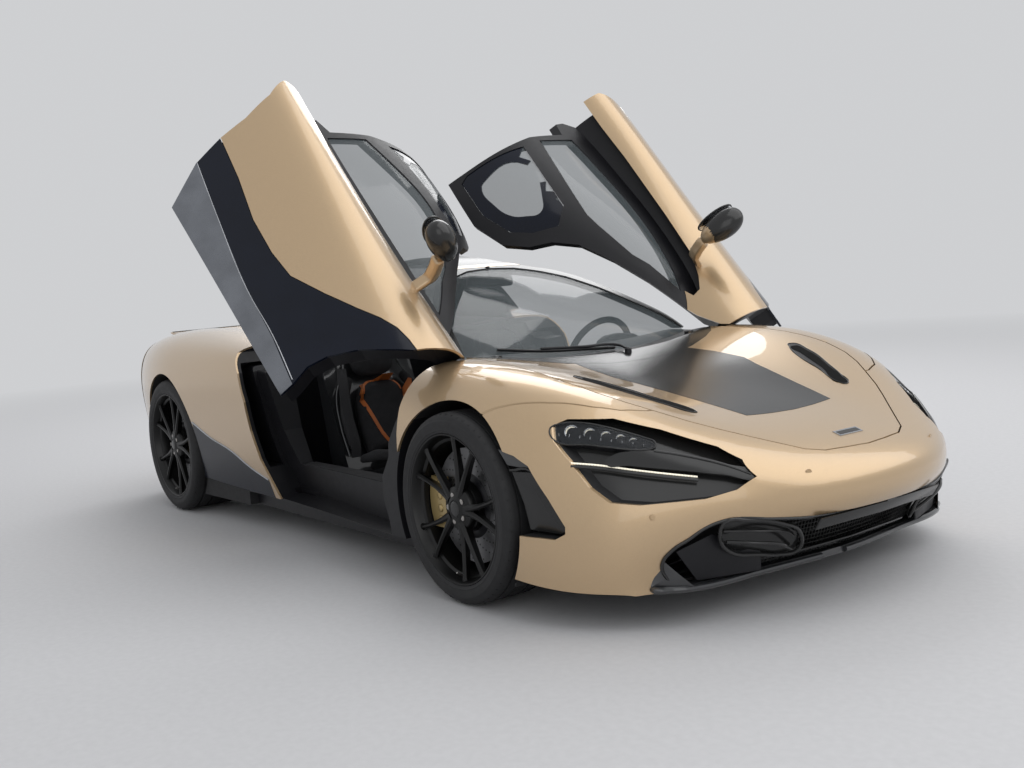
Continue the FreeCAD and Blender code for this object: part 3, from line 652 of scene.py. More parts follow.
    def row(self, count: int, step: Vector) -> Form:
        """Copy all that is there along a line.

        Args:
            count: how many there are in the end.
            step: the way from one to the next.

        Returns:
            The form itself.
        """
        first = self.all()
        for number in range(1, count):
            made = bmesh.ops.duplicate(self.mesh, geom=first)["geom"]
            bmesh.ops.translate(self.mesh, vec=step * number, verts=corners(made))
        return self

    def both(self) -> Form:
        """Add the same on the car's other side, and give the form."""
        made = bmesh.ops.duplicate(self.mesh, geom=self.all())["geom"]
        bmesh.ops.scale(self.mesh, vec=(1.0, -1.0, 1.0), verts=corners(made))
        faces = [g for g in made if isinstance(g, bmesh.types.BMFace)]
        bmesh.ops.reverse_faces(self.mesh, faces=faces)
        return self

    def move(self, matrix: Matrix) -> Form:
        """Move all that is there.

        Args:
            matrix: the move, which may mirror.

        Returns:
            The form itself.
        """
        bmesh.ops.transform(self.mesh, matrix=matrix, verts=self.mesh.verts)
        if matrix.determinant() < 0.0:
            bmesh.ops.reverse_faces(self.mesh, faces=self.mesh.faces)
        return self

    def bake(self, name: str) -> bpy.types.Mesh:
        """Turn the form into a mesh with its faces looking out.

        Args:
            name: the mesh's name.

        Returns:
            The mesh; the form is used up.
        """
        bmesh.ops.recalc_face_normals(self.mesh, faces=self.mesh.faces)
        mesh = bpy.data.meshes.new(name)
        self.mesh.to_mesh(mesh)
        self.mesh.free()
        return mesh

    def done(self, name: str, finish: Finish, slot: str, body: str = "body",
             hides: tuple[str, ...] = (), crease: float = 35.0) -> None:
        """Finish the piece and let it ride; settle says what each value is."""
        settle(self.bake(name), name, finish, body, hides, crease)


def settle(mesh: bpy.types.Mesh, name: str, finish: Finish, body: str,
           hides: tuple[str, ...] = (), crease: float = 35.0,
           soften: int = 0) -> bpy.types.Object:
    """Put a finished mesh in the scene and let it ride.

    Args:
        mesh: the piece's mesh.
        name: the piece's name.
        finish: its finish.
        body: the body that it rides on.
        hides: the CAD nodes that it stands for.
        crease: the angle in degrees past which an edge stays sharp.
        soften: subdivision levels.

    Returns:
        The piece's object.
    """
    item = add_object(name, mesh)
    mesh.materials.clear()
    mesh.materials.append(finish.build())
    mesh.shade_smooth()
    if crease < 180.0:
        mesh.set_sharp_from_angle(angle=math.radians(crease))
    if soften:
        levels = item.modifiers.new("soften", "SUBSURF")
        levels.levels = levels.render_levels = soften
    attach(item, body)
    if hides:
        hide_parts(*hides)
    LOG.info("%s on %s: %d faces", name, body, len(mesh.polygons))
    return item


class Curve:
    """A smooth line through a few places."""

    def __init__(self, points: list[Vector], closed: bool = False,
                 steps: int = 6) -> None:
        """Lay the line.

        Args:
            points: the places that it passes, in metres.
            closed: whether it returns to its start.
            steps: divisions between two points.
        """
        self.data = bpy.data.curves.new("line", "CURVE")
        self.data.dimensions = "3D"
        self.data.resolution_u = steps
        spline = self.data.splines.new("BEZIER")
        spline.bezier_points.add(len(points) - 1)
        for knot, place in zip(spline.bezier_points, points):
            knot.co = place
            knot.handle_left_type = knot.handle_right_type = "AUTO"
        spline.use_cyclic_u = closed

    def mesh(self) -> bpy.types.Mesh:
        """Give the line's mesh and drop the line."""
        item = add_object("line", self.data)
        mesh = bpy.data.meshes.new_from_object(evaluated(item))
        bpy.data.objects.remove(item)
        return mesh

    def places(self) -> list[Vector]:
        """Give the places along the line."""
        return [v.co.copy() for v in self.mesh().vertices]


class Skin:
    """Finds places on a CAD panel and cuts thin covers from it."""

    MARGIN = 0.12

    def __init__(self, item: bpy.types.Object, move: Matrix | None = None) -> None:
        """Copy the panel's mesh, merged and moved.

        Args:
            item: the CAD node's object.
            move: what to do to the copy first.
        """
        self.mesh = bmesh.new()
        self.mesh.from_mesh(item.data)
        bmesh.ops.remove_doubles(self.mesh, verts=self.mesh.verts, dist=1e-5)
        if move is not None:
            bmesh.ops.transform(self.mesh, matrix=move, verts=self.mesh.verts)
        self.tree = BVHTree.FromBMesh(self.mesh)

    def drop(self, start: Vector, way: Vector) -> Vector | None:
        """Give the first place that a line from a start meets."""
        return self.tree.ray_cast(start, way)[0]

    def drape(self, outline: list[Vector], way: Vector, lift: float = 0.0,
              reach: float = 1.0) -> list[Vector]:
        """Lay points onto the panel along a direction.

        Args:
            outline: points near the panel.
            way: the direction in which they drop.
            lift: how far above the panel they stop.
            reach: how far back they start.

        Returns:
            The points on the panel; those that miss it stay as they are.
        """
        way = way.normalized()
        found = []
        for point in outline:
            hit = self.drop(point - way * reach, way)
            found.append((hit if hit is not None else point) - way * lift)
        return found

    def cover(self, outline: list[Vector], way: Vector, thick: float = 0.0012,
              sink: float = 0.3, facing: float = 0.12, smooth: int = 6) -> Form:
        """Cut a thin cover out of the panel's outer side.

        Args:
            outline: the cover's border.
            way: the direction out of the panel along which it is cut.
            thick: how far it stands proud.
            sink: the share of that which lies under the surface.
            facing: how far a face must look along the direction.
            smooth: divisions of the border between two of its points.

        Returns:
            The cover's form.
        """
        way = way.normalized()
        if smooth:
            outline = Curve(outline, True, smooth).places()
        flat = [p - way * p.dot(way) for p in outline]
        heights = [p.dot(way) for p in outline]
        low, high = min(heights) - self.MARGIN, max(heights) + self.MARGIN
        tool = Form()
        tool.plate([p + way * low for p in flat], way * (high - low))
        bmesh.ops.triangulate(tool.mesh, faces=tool.mesh.faces)
        bmesh.ops.recalc_face_normals(tool.mesh, faces=tool.mesh.faces)
        cut = self.meet(tool)
        cut.normal_update()
        gone = [f for f in cut.faces if f.normal.dot(way) < facing]
        bmesh.ops.delete(cut, geom=gone, context="FACES")
        form = Form(cut).clean()
        bmesh.ops.remove_doubles(cut, verts=cut.verts, dist=2e-5)
        cut.normal_update()
        for vert in cut.verts:
            vert.co += vert.normal * thick * (1.0 - sink)
        bmesh.ops.solidify(cut, geom=list(cut.faces), thickness=thick)
        return form

    def meet(self, tool: Form) -> bmesh.types.BMesh:
        """Give what the panel and a closed tool share.

        Args:
            tool: the closed form, which is used up.

        Returns:
            The shared part's mesh.
        """
        pair = []
        for shape in (self.mesh, tool.mesh):
            mesh = bpy.data.meshes.new("cutter")
            shape.to_mesh(mesh)
            pair.append(add_object("cutter", mesh))
        knife = pair[0].modifiers.new("cut", "BOOLEAN")
        knife.operation = "INTERSECT"
        knife.solver = "EXACT"
        knife.object = pair[1]
        cut = bmesh.new()
        cut.from_mesh(evaluated(pair[0]).to_mesh())
        for item in pair:
            bpy.data.objects.remove(item)
        tool.mesh.free()
        return cut


@dataclass(frozen=True)
class DoorHinge:
    """The line about which a door turns up, and how far it stands open."""

    place: Place = (800.0, -595.0, 809.0)
    line: Place = (-0.718, 0.600, 0.355)
    opened: float = 67.7

    def open(self, hand: Hand) -> Matrix:
        """Give the move from a shut door to the open one.

        Args:
            hand: the door's side.

        Returns:
            The move, in the car's frame.
        """
        place, line = mm(*self.place), Vector(self.line)
        if hand is Hand.LEFT:
            place.y, line.x, line.z = -place.y, -line.x, -line.z
        turn = Matrix.Rotation(math.radians(self.opened), 4, line.normalized())
        return Matrix.Translation(place) @ turn @ Matrix.Translation(-place)


def mirrored(points: list[Place]) -> list[Place]:
    """Close a half outline, given from the middle line, on the other side."""
    return points + [(x, -y, z) for x, y, z in reversed(points) if abs(y) > 0.5]


@dataclass
class Part:
    """A sub-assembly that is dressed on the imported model's nodes."""

    frame: dict

    def skin(self, node: str) -> Skin:
        """Give a CAD node's skin by the node's name."""
        return Skin(self.frame["nodes"][node])


@dataclass
class Headlamps(Part):
    """Dark sockets with a lens unit, a daylight bar and a blade across them.

    Attributes:
        depth: how deep the sockets' floor lies, in millimetres.
        look: the way that the right lamp looks.
        bulbs: place and radius of each lens.
    """

    depth: float = 34.0
    look: Place = (0.72, -0.55, 0.42)
    lens: tuple[Place, ...] = (
        (1622, -830, 616), (1665, -786, 628), (1742, -727, 613), (1809, -682, 589),
        (1852, -650, 570), (1880, -640, 552), (1872, -668, 541), (1798, -737, 552),
        (1725, -793, 564), (1667, -836, 571), (1632, -845, 594))
    bulbs: tuple[tuple[float, ...], ...] = (
        (1676, -795, 601, 21), (1722, -762, 594, 17), (1762, -732, 586, 14),
        (1798, -706, 577, 12), (1830, -684, 568, 10))
    bar: tuple[Place, ...] = (
        (1712, -838, 514), (1783, -785, 506), (1855, -731, 491), (1940, -662, 475),
        (2006, -600, 462))
    blade: tuple[Place, ...] = (
        (1880, -662, 538), (1905, -640, 534), (1963, -584, 519), (2038, -517, 489),
        (2102, -462, 450), (2052, -541, 462), (1999, -598, 474), (1940, -656, 486),
        (1855, -731, 502), (1800, -775, 514), (1808, -752, 533), (1850, -700, 541))
    ridge: tuple[Place, ...] = (
        (1884, -655, 535), (1963, -590, 516), (2038, -522, 487), (2094, -470, 455))

    @property
    def way(self) -> Vector:
        """The way that the right lamp looks, one metre long."""
        return Vector(self.look).normalized()

    def socket(self) -> None:
        """Sink the lamp's face to a dark floor."""
        look = self.way
        form = Form(self.skin("headlamps").mesh)
        form.mesh.normal_update()
        for sign in (1.0, -1.0):
            way = Vector((look.x, look.y * sign, look.z))
            face = {v for f in form.mesh.faces if f.normal.dot(way) > 0.5
                    for v in f.verts if v.co.y * sign < 0.0}
            for vert in face:
                vert.co -= way * self.depth * 0.001
        form.done("lamp_sockets", BLACK, "lamp_dark", hides=("headlamps",))

    def unit(self, skin: Skin) -> None:
        """Make the lens unit: tray, clear cover, border, lenses and fins.

        Args:
            skin: the lamps' own faces.
        """
        look = self.way
        outline = spots(self.lens)
        skin.cover(outline, look, 0.022, 1.35).both().done(
            "lamp_trays", SATIN, "lamp_dark")
        skin.cover(outline, look, 0.0020, 0.0).both().done(
            "lamp_covers", LENS, "window_glass")
        border = Curve(outline, True, 6).places()[::4]
        Form().rail(skin.drape(border, -look, 0.0005), 0.0028, True, 3).both().done(
            "lamp_borders", BLACK, "lamp_dark")
        cells, bowls, glow = Form(), Form(), Form()
        for x, y, z, r in self.bulbs:
            spot = skin.drape([mm(x, y, z)], -look, -0.013)[0]
            bowls.lathe([(r, 4), (r + 1.5, 4), (r + 1.5, -6), (r * 0.55, -6),
                         (r * 0.6, -2)], spot, look, 24, ring=True)
            cells.lathe([(0, 3.5), (r * 0.3, 3.0), (r * 0.48, 1.2), (r * 0.55, -2),
                         (0, -2)], spot, look, 24)
            glow.lathe([(r * 0.62, -1.5), (r * 0.86, 2.6), (r * 0.80, 3.0),
                        (r * 0.58, -1.0)], spot, look, 24, ring=True)
        bowls.both().done("lamp_bowls", CHROME, "lamp_dark")
        cells.both().done("lamp_cells", LENS, "lamp_dark")
        glow.both().done("lamp_rings", LAMP_WHITE, "lamp_dark")
        fins = Form()
        first, last = spots(((1650, -826, 592), (1855, -668, 550)))
        for step in range(9):
            spot = skin.drape([first.lerp(last, step / 8.0)], -look, -0.012)[0]
            fins.rod(spot, spot + mm(4, -1, 10), 0.0035, 0.0015, 8)
        fins.both().done("lamp_fins", CHROME, "lamp_dark")

    def bars(self, skin: Skin) -> None:
        """Make the daylight bar and the blade above it.

        Args:
            skin: the lamps' own faces.
        """
        look = self.way
        line = skin.drape(spots(self.bar), -look, -0.006)
        Form().rail(line, 0.0028, steps=8).both().done(
            "daylight_strips", LAMP_WHITE, "lamp_dark")
        low = [p + mm(4, -3, -9) for p in line]
        Form().rail(low, 0.0050, steps=8, sides=3).both().done(
            "daylight_beams", BLACK, "lamp_dark")
        skin.cover(spots(self.blade), look, 0.010, 1.0).both().done(
            "lamp_blades", BLACK, "lamp_dark")
        fold = skin.drape(spots(self.ridge), -look, 0.0)
        Form().rail(fold, 0.0045, steps=8).both().done(
            "lamp_ridges", BLACK, "lamp_dark")

    def build(self) -> None:
        """Make both lamps."""
        skin = self.skin("headlamps")
        self.socket()
        self.unit(skin)
        self.bars(skin)


@dataclass
class Nose(Part):
    """The lower intake, the splitter, the wheel ducts and the small parts.

    Attributes:
        lip: the intake's edge, from the middle outward.
        rim: the splitter's edge, from the middle outward.
        wire: the radius of the mesh's wires, in metres.
        pitch: the mesh's pitch in millimetres.
        bow: how far the mesh bends back, over the width's square.
    """

    lip: tuple[Place, ...] = (
        (2221, 0, 306), (2206, 146, 305), (2186, 300, 307), (2140, 434, 321),
        (2086, 533, 334), (2062, 570, 328), (2033, 605, 312), (2001, 643, 281),
        (1968, 679, 252), (1944, 702, 212), (1938, 695, 180), (1946, 665, 150))
    rim: tuple[Place, ...] = (
        (2047, 0, 123), (2042, 110, 123), (2014, 350, 123), (1977, 615, 123),
        (1946, 668, 124), (1905, 716, 128))
    wire: float = 0.0020
    pitch: int = 14
    bow: float = 0.00030

    def intake(self) -> None:
        """Line the intake's edge and fill it with mesh, vanes and scoops."""
        edge = [mm(x - 6, y, z - 3) for x, y, z in mirrored(list(self.lip))[::-1]]
        Form().rail(edge, 0.0055, steps=5).done("intake_lip", BLACK, "gloss_black")
        Form().plate(spots((
            (2206, -300, 300), (2218, 0, 300), (2206, 300, 300), (2180, 300, 262),
            (2194, 0, 262), (2180, -300, 262))), mm(-10, 0, 0), 0.003).done(
            "intake_brow", BLACK, "gloss_black")
        self.grille()
        self.scoops()
        Form().plate(spots((
            (1975, -600, 140), (2045, -395, 140), (2046, -395, 215), (2010, -560, 280),
            (1960, -665, 240))), mm(-8, 3, 0), 0.003).both().done(
            "intake_cheeks", SATIN, "dark_trim")

    def grille(self) -> None:
        """Fill the intake with a bowed mesh of upright and level wires."""
        foot, top, reach = 140, 300, 54
        mesh = Form()
        for y in range(-490, 491, self.pitch):
            x = 2030 - self.bow * y * y
            mesh.rod(mm(x, y, foot), mm(x + reach, y, top), self.wire, steps=6)
        for z in range(foot + 6, top, self.pitch):
            x = 2030 + reach * (z - foot) / (top - foot)
            mesh.rail([mm(x - self.bow * y * y, y, z)
                       for y in (-500, -300, 0, 300, 500)], self.wire, steps=4, sides=1)
        mesh.done("intake_mesh", GRILLE, "dark_trim")

    def scoops(self) -> None:
        """Set a round-edged scoop and its vanes in each of the intake's ends."""
        ring = spots((
            (2064, -560, 322), (2098, -505, 322), (2134, -395, 297), (2124, -300, 243),
            (2098, -290, 188), (2066, -330, 178), (2050, -400, 190), (2034, -520, 222),
            (2040, -560, 270)))
        inner = [p.lerp(sum(ring, Vector()) / len(ring), 0.24) for p in ring]
        scoop, back = Form(), Form()
        scoop.rail(ring, 0.0065, True, 5, 3)
        scoop.rail([p - mm(26, 0, 0) for p in inner], 0.004, True, 5, 2)
        scoop.plate([p - mm(12, -4, 0) for p in ring], mm(-5, 0, 0))
        back.rail(spots(((2050, -545, 258), (2092, -470, 246), (2110, -380, 226),
                         (2094, -312, 196))), 0.006, steps=6)
        back.rail(spots(((2044, -548, 290), (2100, -455, 280), (2118, -360, 262),
                         (2112, -318, 240))), 0.004, steps=6)
        scoop.both().done("intake_scoops", BLACK, "gloss_black")
        back.both().done("intake_vanes", BLACK, "gloss_black")

    def splitter(self) -> None:
        """Edge the splitter and stand its two end fins."""
        rim = mirrored(list(self.rim))[::-1]
        edge = Form().rail(spots(rim), 0.0105, steps=6, sides=3)
        edge.rail([mm(x - 62, y * 0.97, z + 14) for x, y, z in rim], 0.006, steps=6)
        edge.done("splitter_edge", CARBON, "gloss_black")
        Form().plate(spots((
            (1986, -618, 126), (1908, -716, 128), (1897, -726, 196), (1930, -704, 226),
            (1962, -660, 172))), mm(-5, -4, 0), 0.002).both().done(
            "splitter_fins", CARBON, "gloss_black")
        Form().plate(spots((
            (2030, -300, 150), (2050, 0, 150), (2030, 300, 150), (2060, 300, 168),
            (2078, 0, 168), (2060, -300, 168))), mm(0, 0, 5), 0.002).done(
            "splitter_step", BLACK, "gloss_black")

    def ducts(self) -> None:
        """Set the two vanes between front wheel and bumper."""
        Form().plate(spots((
            (1452, -921, 549), (1536, -905, 529), (1578, -897, 506), (1590, -897, 490),
            (1500, -922, 500))), mm(0, 12, 0), 0.004).both().done(
            "duct_upper_vanes", CARBON, "gloss_black")
        Form().plate(spots((
            (1508, -916, 484), (1596, -893, 484), (1630, -884, 440), (1664, -876, 396),
            (1712, -864, 326), (1706, -862, 304), (1680, -868, 292), (1560, -898, 296),
            (1545, -905, 380))), mm(-4, 14, 0), 0.006, 3).both().done(
            "duct_lower_vanes", BLACK, "gloss_black")
        Form().rail(spots((
            (1512, -920, 486), (1592, -899, 488), (1628, -890, 446), (1664, -882, 398),
            (1716, -869, 326))), 0.0045, steps=5).both().done(
            "duct_ribs", BLACK, "gloss_black")

    def small_parts(self) -> None:
        """Add the parking sensors and the bare badge plate."""
        skin = self.skin("front_bumper")
        rings = Form()
        for x, y, z in ((1931, -721, 351), (2177, -313, 439), (2163, 328, 449),
                        (1931, 721, 351)):
            way = Vector((1.0, y / 900.0, 0.15)).normalized()
            spot = skin.drape([mm(x, y, z)], -way)[0]
            rings.lathe([(0, 0.7), (7.4, 0.7), (8.0, 0.2), (8.4, -0.6), (9.4, -0.6),
                         (10.0, 0.4), (10.6, 0.2), (11.0, -2), (0, -2)], spot, way, 28)
        rings.done("parking_sensors", GOLD_FLAT, "body_paint")
        lid = self.skin("bonnet")
        way = Vector((0.55, 0.0, 0.84))
        lid.cover(spots(((2078, -57, 530), (2078, 57, 530), (2100, 57, 505),
                         (2100, -57, 505))), way, 0.0024, 0.1, smooth=0).done(
            "badge_plate", SILVER, "steel", "bonnet")
        lid.cover(spots(((2083, -50, 525), (2083, 50, 525), (2096, 50, 510),
                         (2096, -50, 510))), way, 0.0030, 0.1, smooth=0).done(
            "badge_face", BLACK, "gloss_black", "bonnet")

    def build(self) -> None:
        """Make the nose's pieces."""
        self.intake()
        self.splitter()
        self.ducts()
        self.small_parts()


@dataclass
class BonnetTrim(Part):
    """The black middle, the vents, the cowl and the wiper."""

    middle: tuple[Place, ...] = (
        (1100, -292, 745), (1222, -322, 721), (1365, -334, 690), (1449, -306, 672),
        (1679, -250, 619), (1856, -212, 578), (1868, -100, 573), (1874, 0, 571))
    cowl: tuple[Place, ...] = (
        (860, -640, 800), (905, -640, 795), (985, -560, 790), (1040, -470, 770),
        (1096, -330, 748), (1135, -150, 735), (1142, 0, 733))
    vent: tuple[Place, ...] = (
        (1408, -550, 735), (1428, -524, 726), (1514, -468, 695), (1649, -418, 650),
        (1776, -370, 612), (1798, -380, 608), (1745, -426, 625), (1659, -472, 660),
        (1511, -540, 711))

    def covers(self) -> None:
        """Lay the gloss black covers on the lid."""
        skin = self.skin("bonnet")
        outline = [mm(*p) for p in mirrored(list(self.middle)[::-1])]
        skin.cover(outline, UP, 0.0012, 0.3, smooth=0).done(
            "bonnet_middle", BLACK, "gloss_black", "bonnet")
        back = [*self.cowl[::-1], (700, -400, 800)]
        outline = spots(mirrored(back))
        skin.cover(outline, UP, 0.0016, 0.3, smooth=0).done(
            "bonnet_cowl", BLACK, "gloss_black", "bonnet")

    def vents(self) -> None:
        """Cover each vent with a dark bed and a border, and paint the shade of its deeper
        slit with a black cover.
        """
        skin = self.skin("bonnet")
        outline = spots(self.vent)
        skin.cover(outline, UP, 0.0012, 0.3).both().done(
            "vent_beds", SATIN, "dark_trim", "bonnet")
        Form().rail(skin.drape(outline, -UP, 0.001), 0.0020, True, 8).both().done(
            "vent_borders", BLACK, "gloss_black", "bonnet")
        # Painted shade: a near-black matte cover stands for the shade inside the slit.
        slit = ((1436, -536, 735), (1514, -492, 700), (1649, -436, 650),
                (1788, -378, 610), (1660, -462, 660), (1512, -530, 711))
        skin.cover(spots(slit), UP, 0.0022, 0.2).both().done(
            "vent_slits", SLIT_SHADE, "dark_trim", "bonnet")

    def wiper(self) -> None:
        """Park one long wiper along the foot of the windscreen."""
        skin = self.skin("windscreen")
        lid = self.skin("bonnet")
        way = Vector((-0.6, 0.0, -0.8)).normalized()
        line = skin.drape(spots(((925, 90, 800), (905, -60, 800), (870, -260, 800),
                                 (815, -440, 800))), way, 0.012)
        arm, blade = Form(), Form()
        foot = lid.drape([mm(1010, 60, 780)], -UP, 0.004)[0]
        arm.rod(foot - UP * 0.02, foot + UP * 0.012, 0.016, 0.013)
        arm.rail([foot + UP * 0.010, line[0] + mm(30, -20, 12), line[1] + mm(6, 0, 9),
                  line[2] + mm(2, 0, 7)], 0.0055, steps=6, sides=2)
        blade.rail(line, 0.0048, steps=8)
        blade.rail([p + mm(-4, 0, -5) for p in line], 0.0030, steps=8)
        arm.done("wiper_arm", SATIN, "dark_trim")
        blade.done("wiper_blade", SEAL, "dark_trim")

    def build(self) -> None:
        """Make the lid's trim."""
        self.covers()
        self.vents()
        self.wiper()


@dataclass(frozen=True)
class WheelSize:
    """One axle's wheel sizes, in millimetres."""

    end: str
    x: float
    y: float
    tyre: float
    rim: float
    width: float
    disc: float

    @property
    def half(self) -> float:
        """Half the tyre's width."""
        return self.width / 2.0


@dataclass
class Wheel(Part):
    """One wheel: a grooved tyre, a spoked rim, a disc whose drilled holes are painted as
    dark spots of shade, and caliper caps.

    Attributes:
        grooves: where the grooves lie, as shares of the tyre's width.
        arms: how many pairs of spokes, and how many bolts, go round.
        drill_rows: how many painted hole spots make one row across the disc.
        drill_turns: how many rows go round it.
    """

    size: WheelSize
    hand: Hand
    grooves: tuple[float, ...] = (-0.30, -0.11, 0.11, 0.30)
    groove_depth: float = 6.0
    shoulder_cuts: int = 60
    arms: int = 5
    drill_rows: int = 6
    drill_turns: int = 18

    @property
    def corner(self) -> str:
        """The wheel's corner of the car as the node names say it."""
        return f"{self.size.end}_{self.hand.word}"

    @property
    def centre(self) -> Vector:
        """The wheel's middle."""
        return mm(self.size.x, self.hand.value * self.size.y, self.size.tyre)

    def fit(self, form: Form, word: str, finish: Finish, slot: str,
            hides: tuple[str, ...] = (), crease: float = 35.0) -> None:
        """Move a left wheel's piece from the origin to this corner and finish it.

        Args:
            form: the piece.
            word: the end of its name.
            finish: its finish.
            slot: not used.
            hides: the CAD nodes that it stands for.
            crease: the angle in degrees past which an edge stays sharp.
        """
        body = "wheel_" + self.corner
        if self.hand is Hand.RIGHT:
            form.move(MIRROR_Y)
        form.move(Matrix.Translation(self.centre))
        form.done(f"{body}_{word}", finish, slot, body, hides, crease)

    def tyre(self) -> None:
        """Turn the tyre with four grooves and a rim guard, and paint the shade of its
        shoulder cuts as dark slivers.
        """
        size, hand, corner = self.size, self.hand, self.corner
        half, tread = size.half, size.tyre
        flank = [(size.rim + 1, half - 9), (size.rim + 4, half - 5),
                 (size.rim + 9, half - 4.2), (size.rim + 13, half - 1.5),
                 (size.rim + 17, half - 2.6), (size.rim + 24, half - 1),
                 (size.rim + 34, half - 0.1), (size.rim + 42, half),
                 (tread - 24, half - 3.6), (tread - 20, half - 6.2),
                 (tread - 18, half - 7), (tread - 12, half - 11), (tread - 8, half - 16),
                 (tread - 4.2, half - 24), (tread - 2, half - 32)]
        crown = []
        for share in sorted(self.grooves, reverse=True):
            y = share * size.width
            top = tread - 2.0 * (abs(y) / half) ** 2
            foot = top - self.groove_depth
            crown += [(top, y + 4.5), (foot, y + 3.6), (foot, y - 3.6), (top, y - 4.5)]
        loop = flank + crown + [(r, -y) for r, y in reversed(flank)]
        loop += [(size.rim + 1, 0.0)]
        form = Form().lathe(loop, self.centre, ACROSS * hand.value, 96, ring=True)
        form.done(f"tyre_{corner}_tread", RUBBER, "tyre", "wheel_" + corner,
                  ("tyre_" + corner,), 30.0)
        # Painted shade: slivers in the shade finish stand for the shade inside the
        # shoulder cuts.
        cut_shades = Form()
        for side in (-1.0, 1.0):
            y0, y1 = side * (half - 14.0), side * (half - 44.0)
            cut_shades.plate([mm(-1.3, y0, tread - 8.2), mm(1.3, y0, tread - 8.2),
                        mm(1.3, y1, tread - 1.0), mm(-1.3, y1, tread - 1.0)],
                       mm(0, 0, 1.3))
        cut_shades.repeat(self.shoulder_cuts, ACROSS)
        cut_shades.move(Matrix.Translation(self.centre))
        cut_shades.done(f"tyre_{corner}_cuts", SHADE, "tyre", "wheel_" + corner)

    def spoke(self, lean: float) -> bpy.types.Mesh:
        """Make one spoke of a pair: narrow, deep and dished.

        Args:
            lean: the way that it leans, -1 or 1.

        Returns:
            The spoke's mesh.
        """
        form = Form()
        root, end, root_lean, end_lean = 46.0, self.size.rim - 10.0, 4.5, 14.0
        face = self.size.half - 19.0
        stations = ((root, 15.0, 36.0, 2.0), (80.0, 12.5, 34.0, 4.5),
                    (130.0, 9.5, 30.0, 5.0), (190.0, 8.0, 26.0, 3.0),
                    (end - 14.0, 9.5, 24.0, 0.5), (end, 15.0, 26.0, 0.0))
        loops = []
        for radius, wide, deep, dish in stations:
            share = (radius - root) / (end - root)
            angle = math.radians(lean * end_lean * min(1.0, share ** 0.85)
                                 + lean * root_lean * (1.0 - share))
            out = Vector((math.cos(angle), 0.0, math.sin(angle)))
            over = Vector((-math.sin(angle), 0.0, math.cos(angle)))
            ring = []
            for u, v in ((-1.0, -deep), (-1.0, -7.0), (-0.35, 0.0), (0.35, 0.0),
                         (1.0, -7.0), (1.0, -deep)):
                w = wide * (0.62 if v == -deep else 1.0)
                spot = out * radius + over * (u * w)
                spot.y = face - dish + v
                ring.append(form.mesh.verts.new(spot * 0.001))
            loops.append(ring)
        edges = []
        for ring in loops:
            edges.append([form.mesh.edges.new((a, b))
                          for a, b in zip(ring, ring[1:] + ring[:1])])
        for one, two in zip(edges, edges[1:]):
            bmesh.ops.bridge_loops(form.mesh, edges=one + two)
        for ring in (loops[0], loops[-1]):
            form.mesh.faces.new(ring)
        return form.bake("spoke")

    def rim(self) -> None:
        """Make the barrel with its spokes and hub."""
        half, r = self.size.half, self.size.rim
        form = Form()
        for lean in (-1.0, 1.0):
            form.mesh.from_mesh(self.spoke(lean))
        form.repeat(self.arms, ACROSS)
        form.lathe([(r, half - 9), (r + 0.4, half - 6), (r - 4, half - 6.5),
                    (r - 8, half - 12), (r - 11, half - 22), (r - 20, half - 40),
                    (r - 26, half - 60), (r - 32, 20 - half), (r - 12, 12 - half),
                    (r, 9 - half), (r, 6 - half), (r - 36, 18 - half),
                    (r - 34, half - 66), (r - 28, half - 44), (r - 2, half - 26)],
                   Vector(), ACROSS, 96, ring=True)
        form.lathe([(0, half - 22), (27, half - 22), (30, half - 19), (34, half - 20),
                    (50, half - 26), (64, half - 30), (74, half - 34), (78, half - 40),
                    (80, half - 55), (86, half - 56), (86, half - 86), (0, half - 86)],
                   Vector(), ACROSS, 64)
        self.fit(form, "spokes", WHEEL, "wheel_black", ("rim_" + self.corner,), 32.0)

    def fittings(self) -> None:
        """Add the bolts, the plain middle cap and the valve."""
        half = self.size.half
        bolts = Form()
        spot = mm(46, half - 33, 0)
        bolts.rod(spot, spot + mm(0, 10, 0), 0.0085, 0.0075, 6)
        bolts.lathe([(0, 7), (4, 7), (5, 10), (9.5, 9), (10.5, 0), (0, 0)], spot,
                    ACROSS, 18)
        bolts.repeat(self.arms, ACROSS)
        bolts.move(Matrix.Rotation(math.pi / self.arms, 4, "Y"))
        self.fit(bolts, "bolts", STEEL, "steel")
        cap = Form().lathe([
            (0, half - 17.5), (20, half - 17.6), (24, half - 18.6), (26.5, half - 20.5),
            (26.5, half - 24), (0, half - 24)], Vector(), ACROSS, 40)
        self.fit(cap, "cap", BLACK, "gloss_black")
        foot = mm(0, half - 34, 24 - self.size.rim)
        valve = Form().rod(foot, foot + mm(0, 26, 16), 0.0038, 0.0032, 10)
        self.fit(valve, "valve", STEEL, "steel")

    def brake(self) -> None:
        """Make the disc and its bell, with dark spots on its face that paint the shade of
        the drilled holes.
        """
        half, edge = self.size.half, self.size.disc
        y0, y1 = half - 118.0, half - 86.0
        disc = Form().lathe([
            (112, y1 - 1.5), (edge, y1 - 1.5), (edge, y1 - 10), (edge - 6, y1 - 10),
            (edge - 6, y0 + 10), (edge, y0 + 10), (edge, y0 + 1.5), (112, y0 + 1.5)],
            Vector(), ACROSS, 96, ring=True)
        self.fit(disc, "disc", DISC, "steel")
        bell = Form().lathe([
            (84, y1 + 3), (96, y1 + 2), (104, y1 - 3), (114, y1 - 8), (114, y0 + 8),
            (84, y0 + 8)], Vector(), ACROSS, 64, ring=True)
        self.fit(bell, "bell", SATIN, "dark_trim")
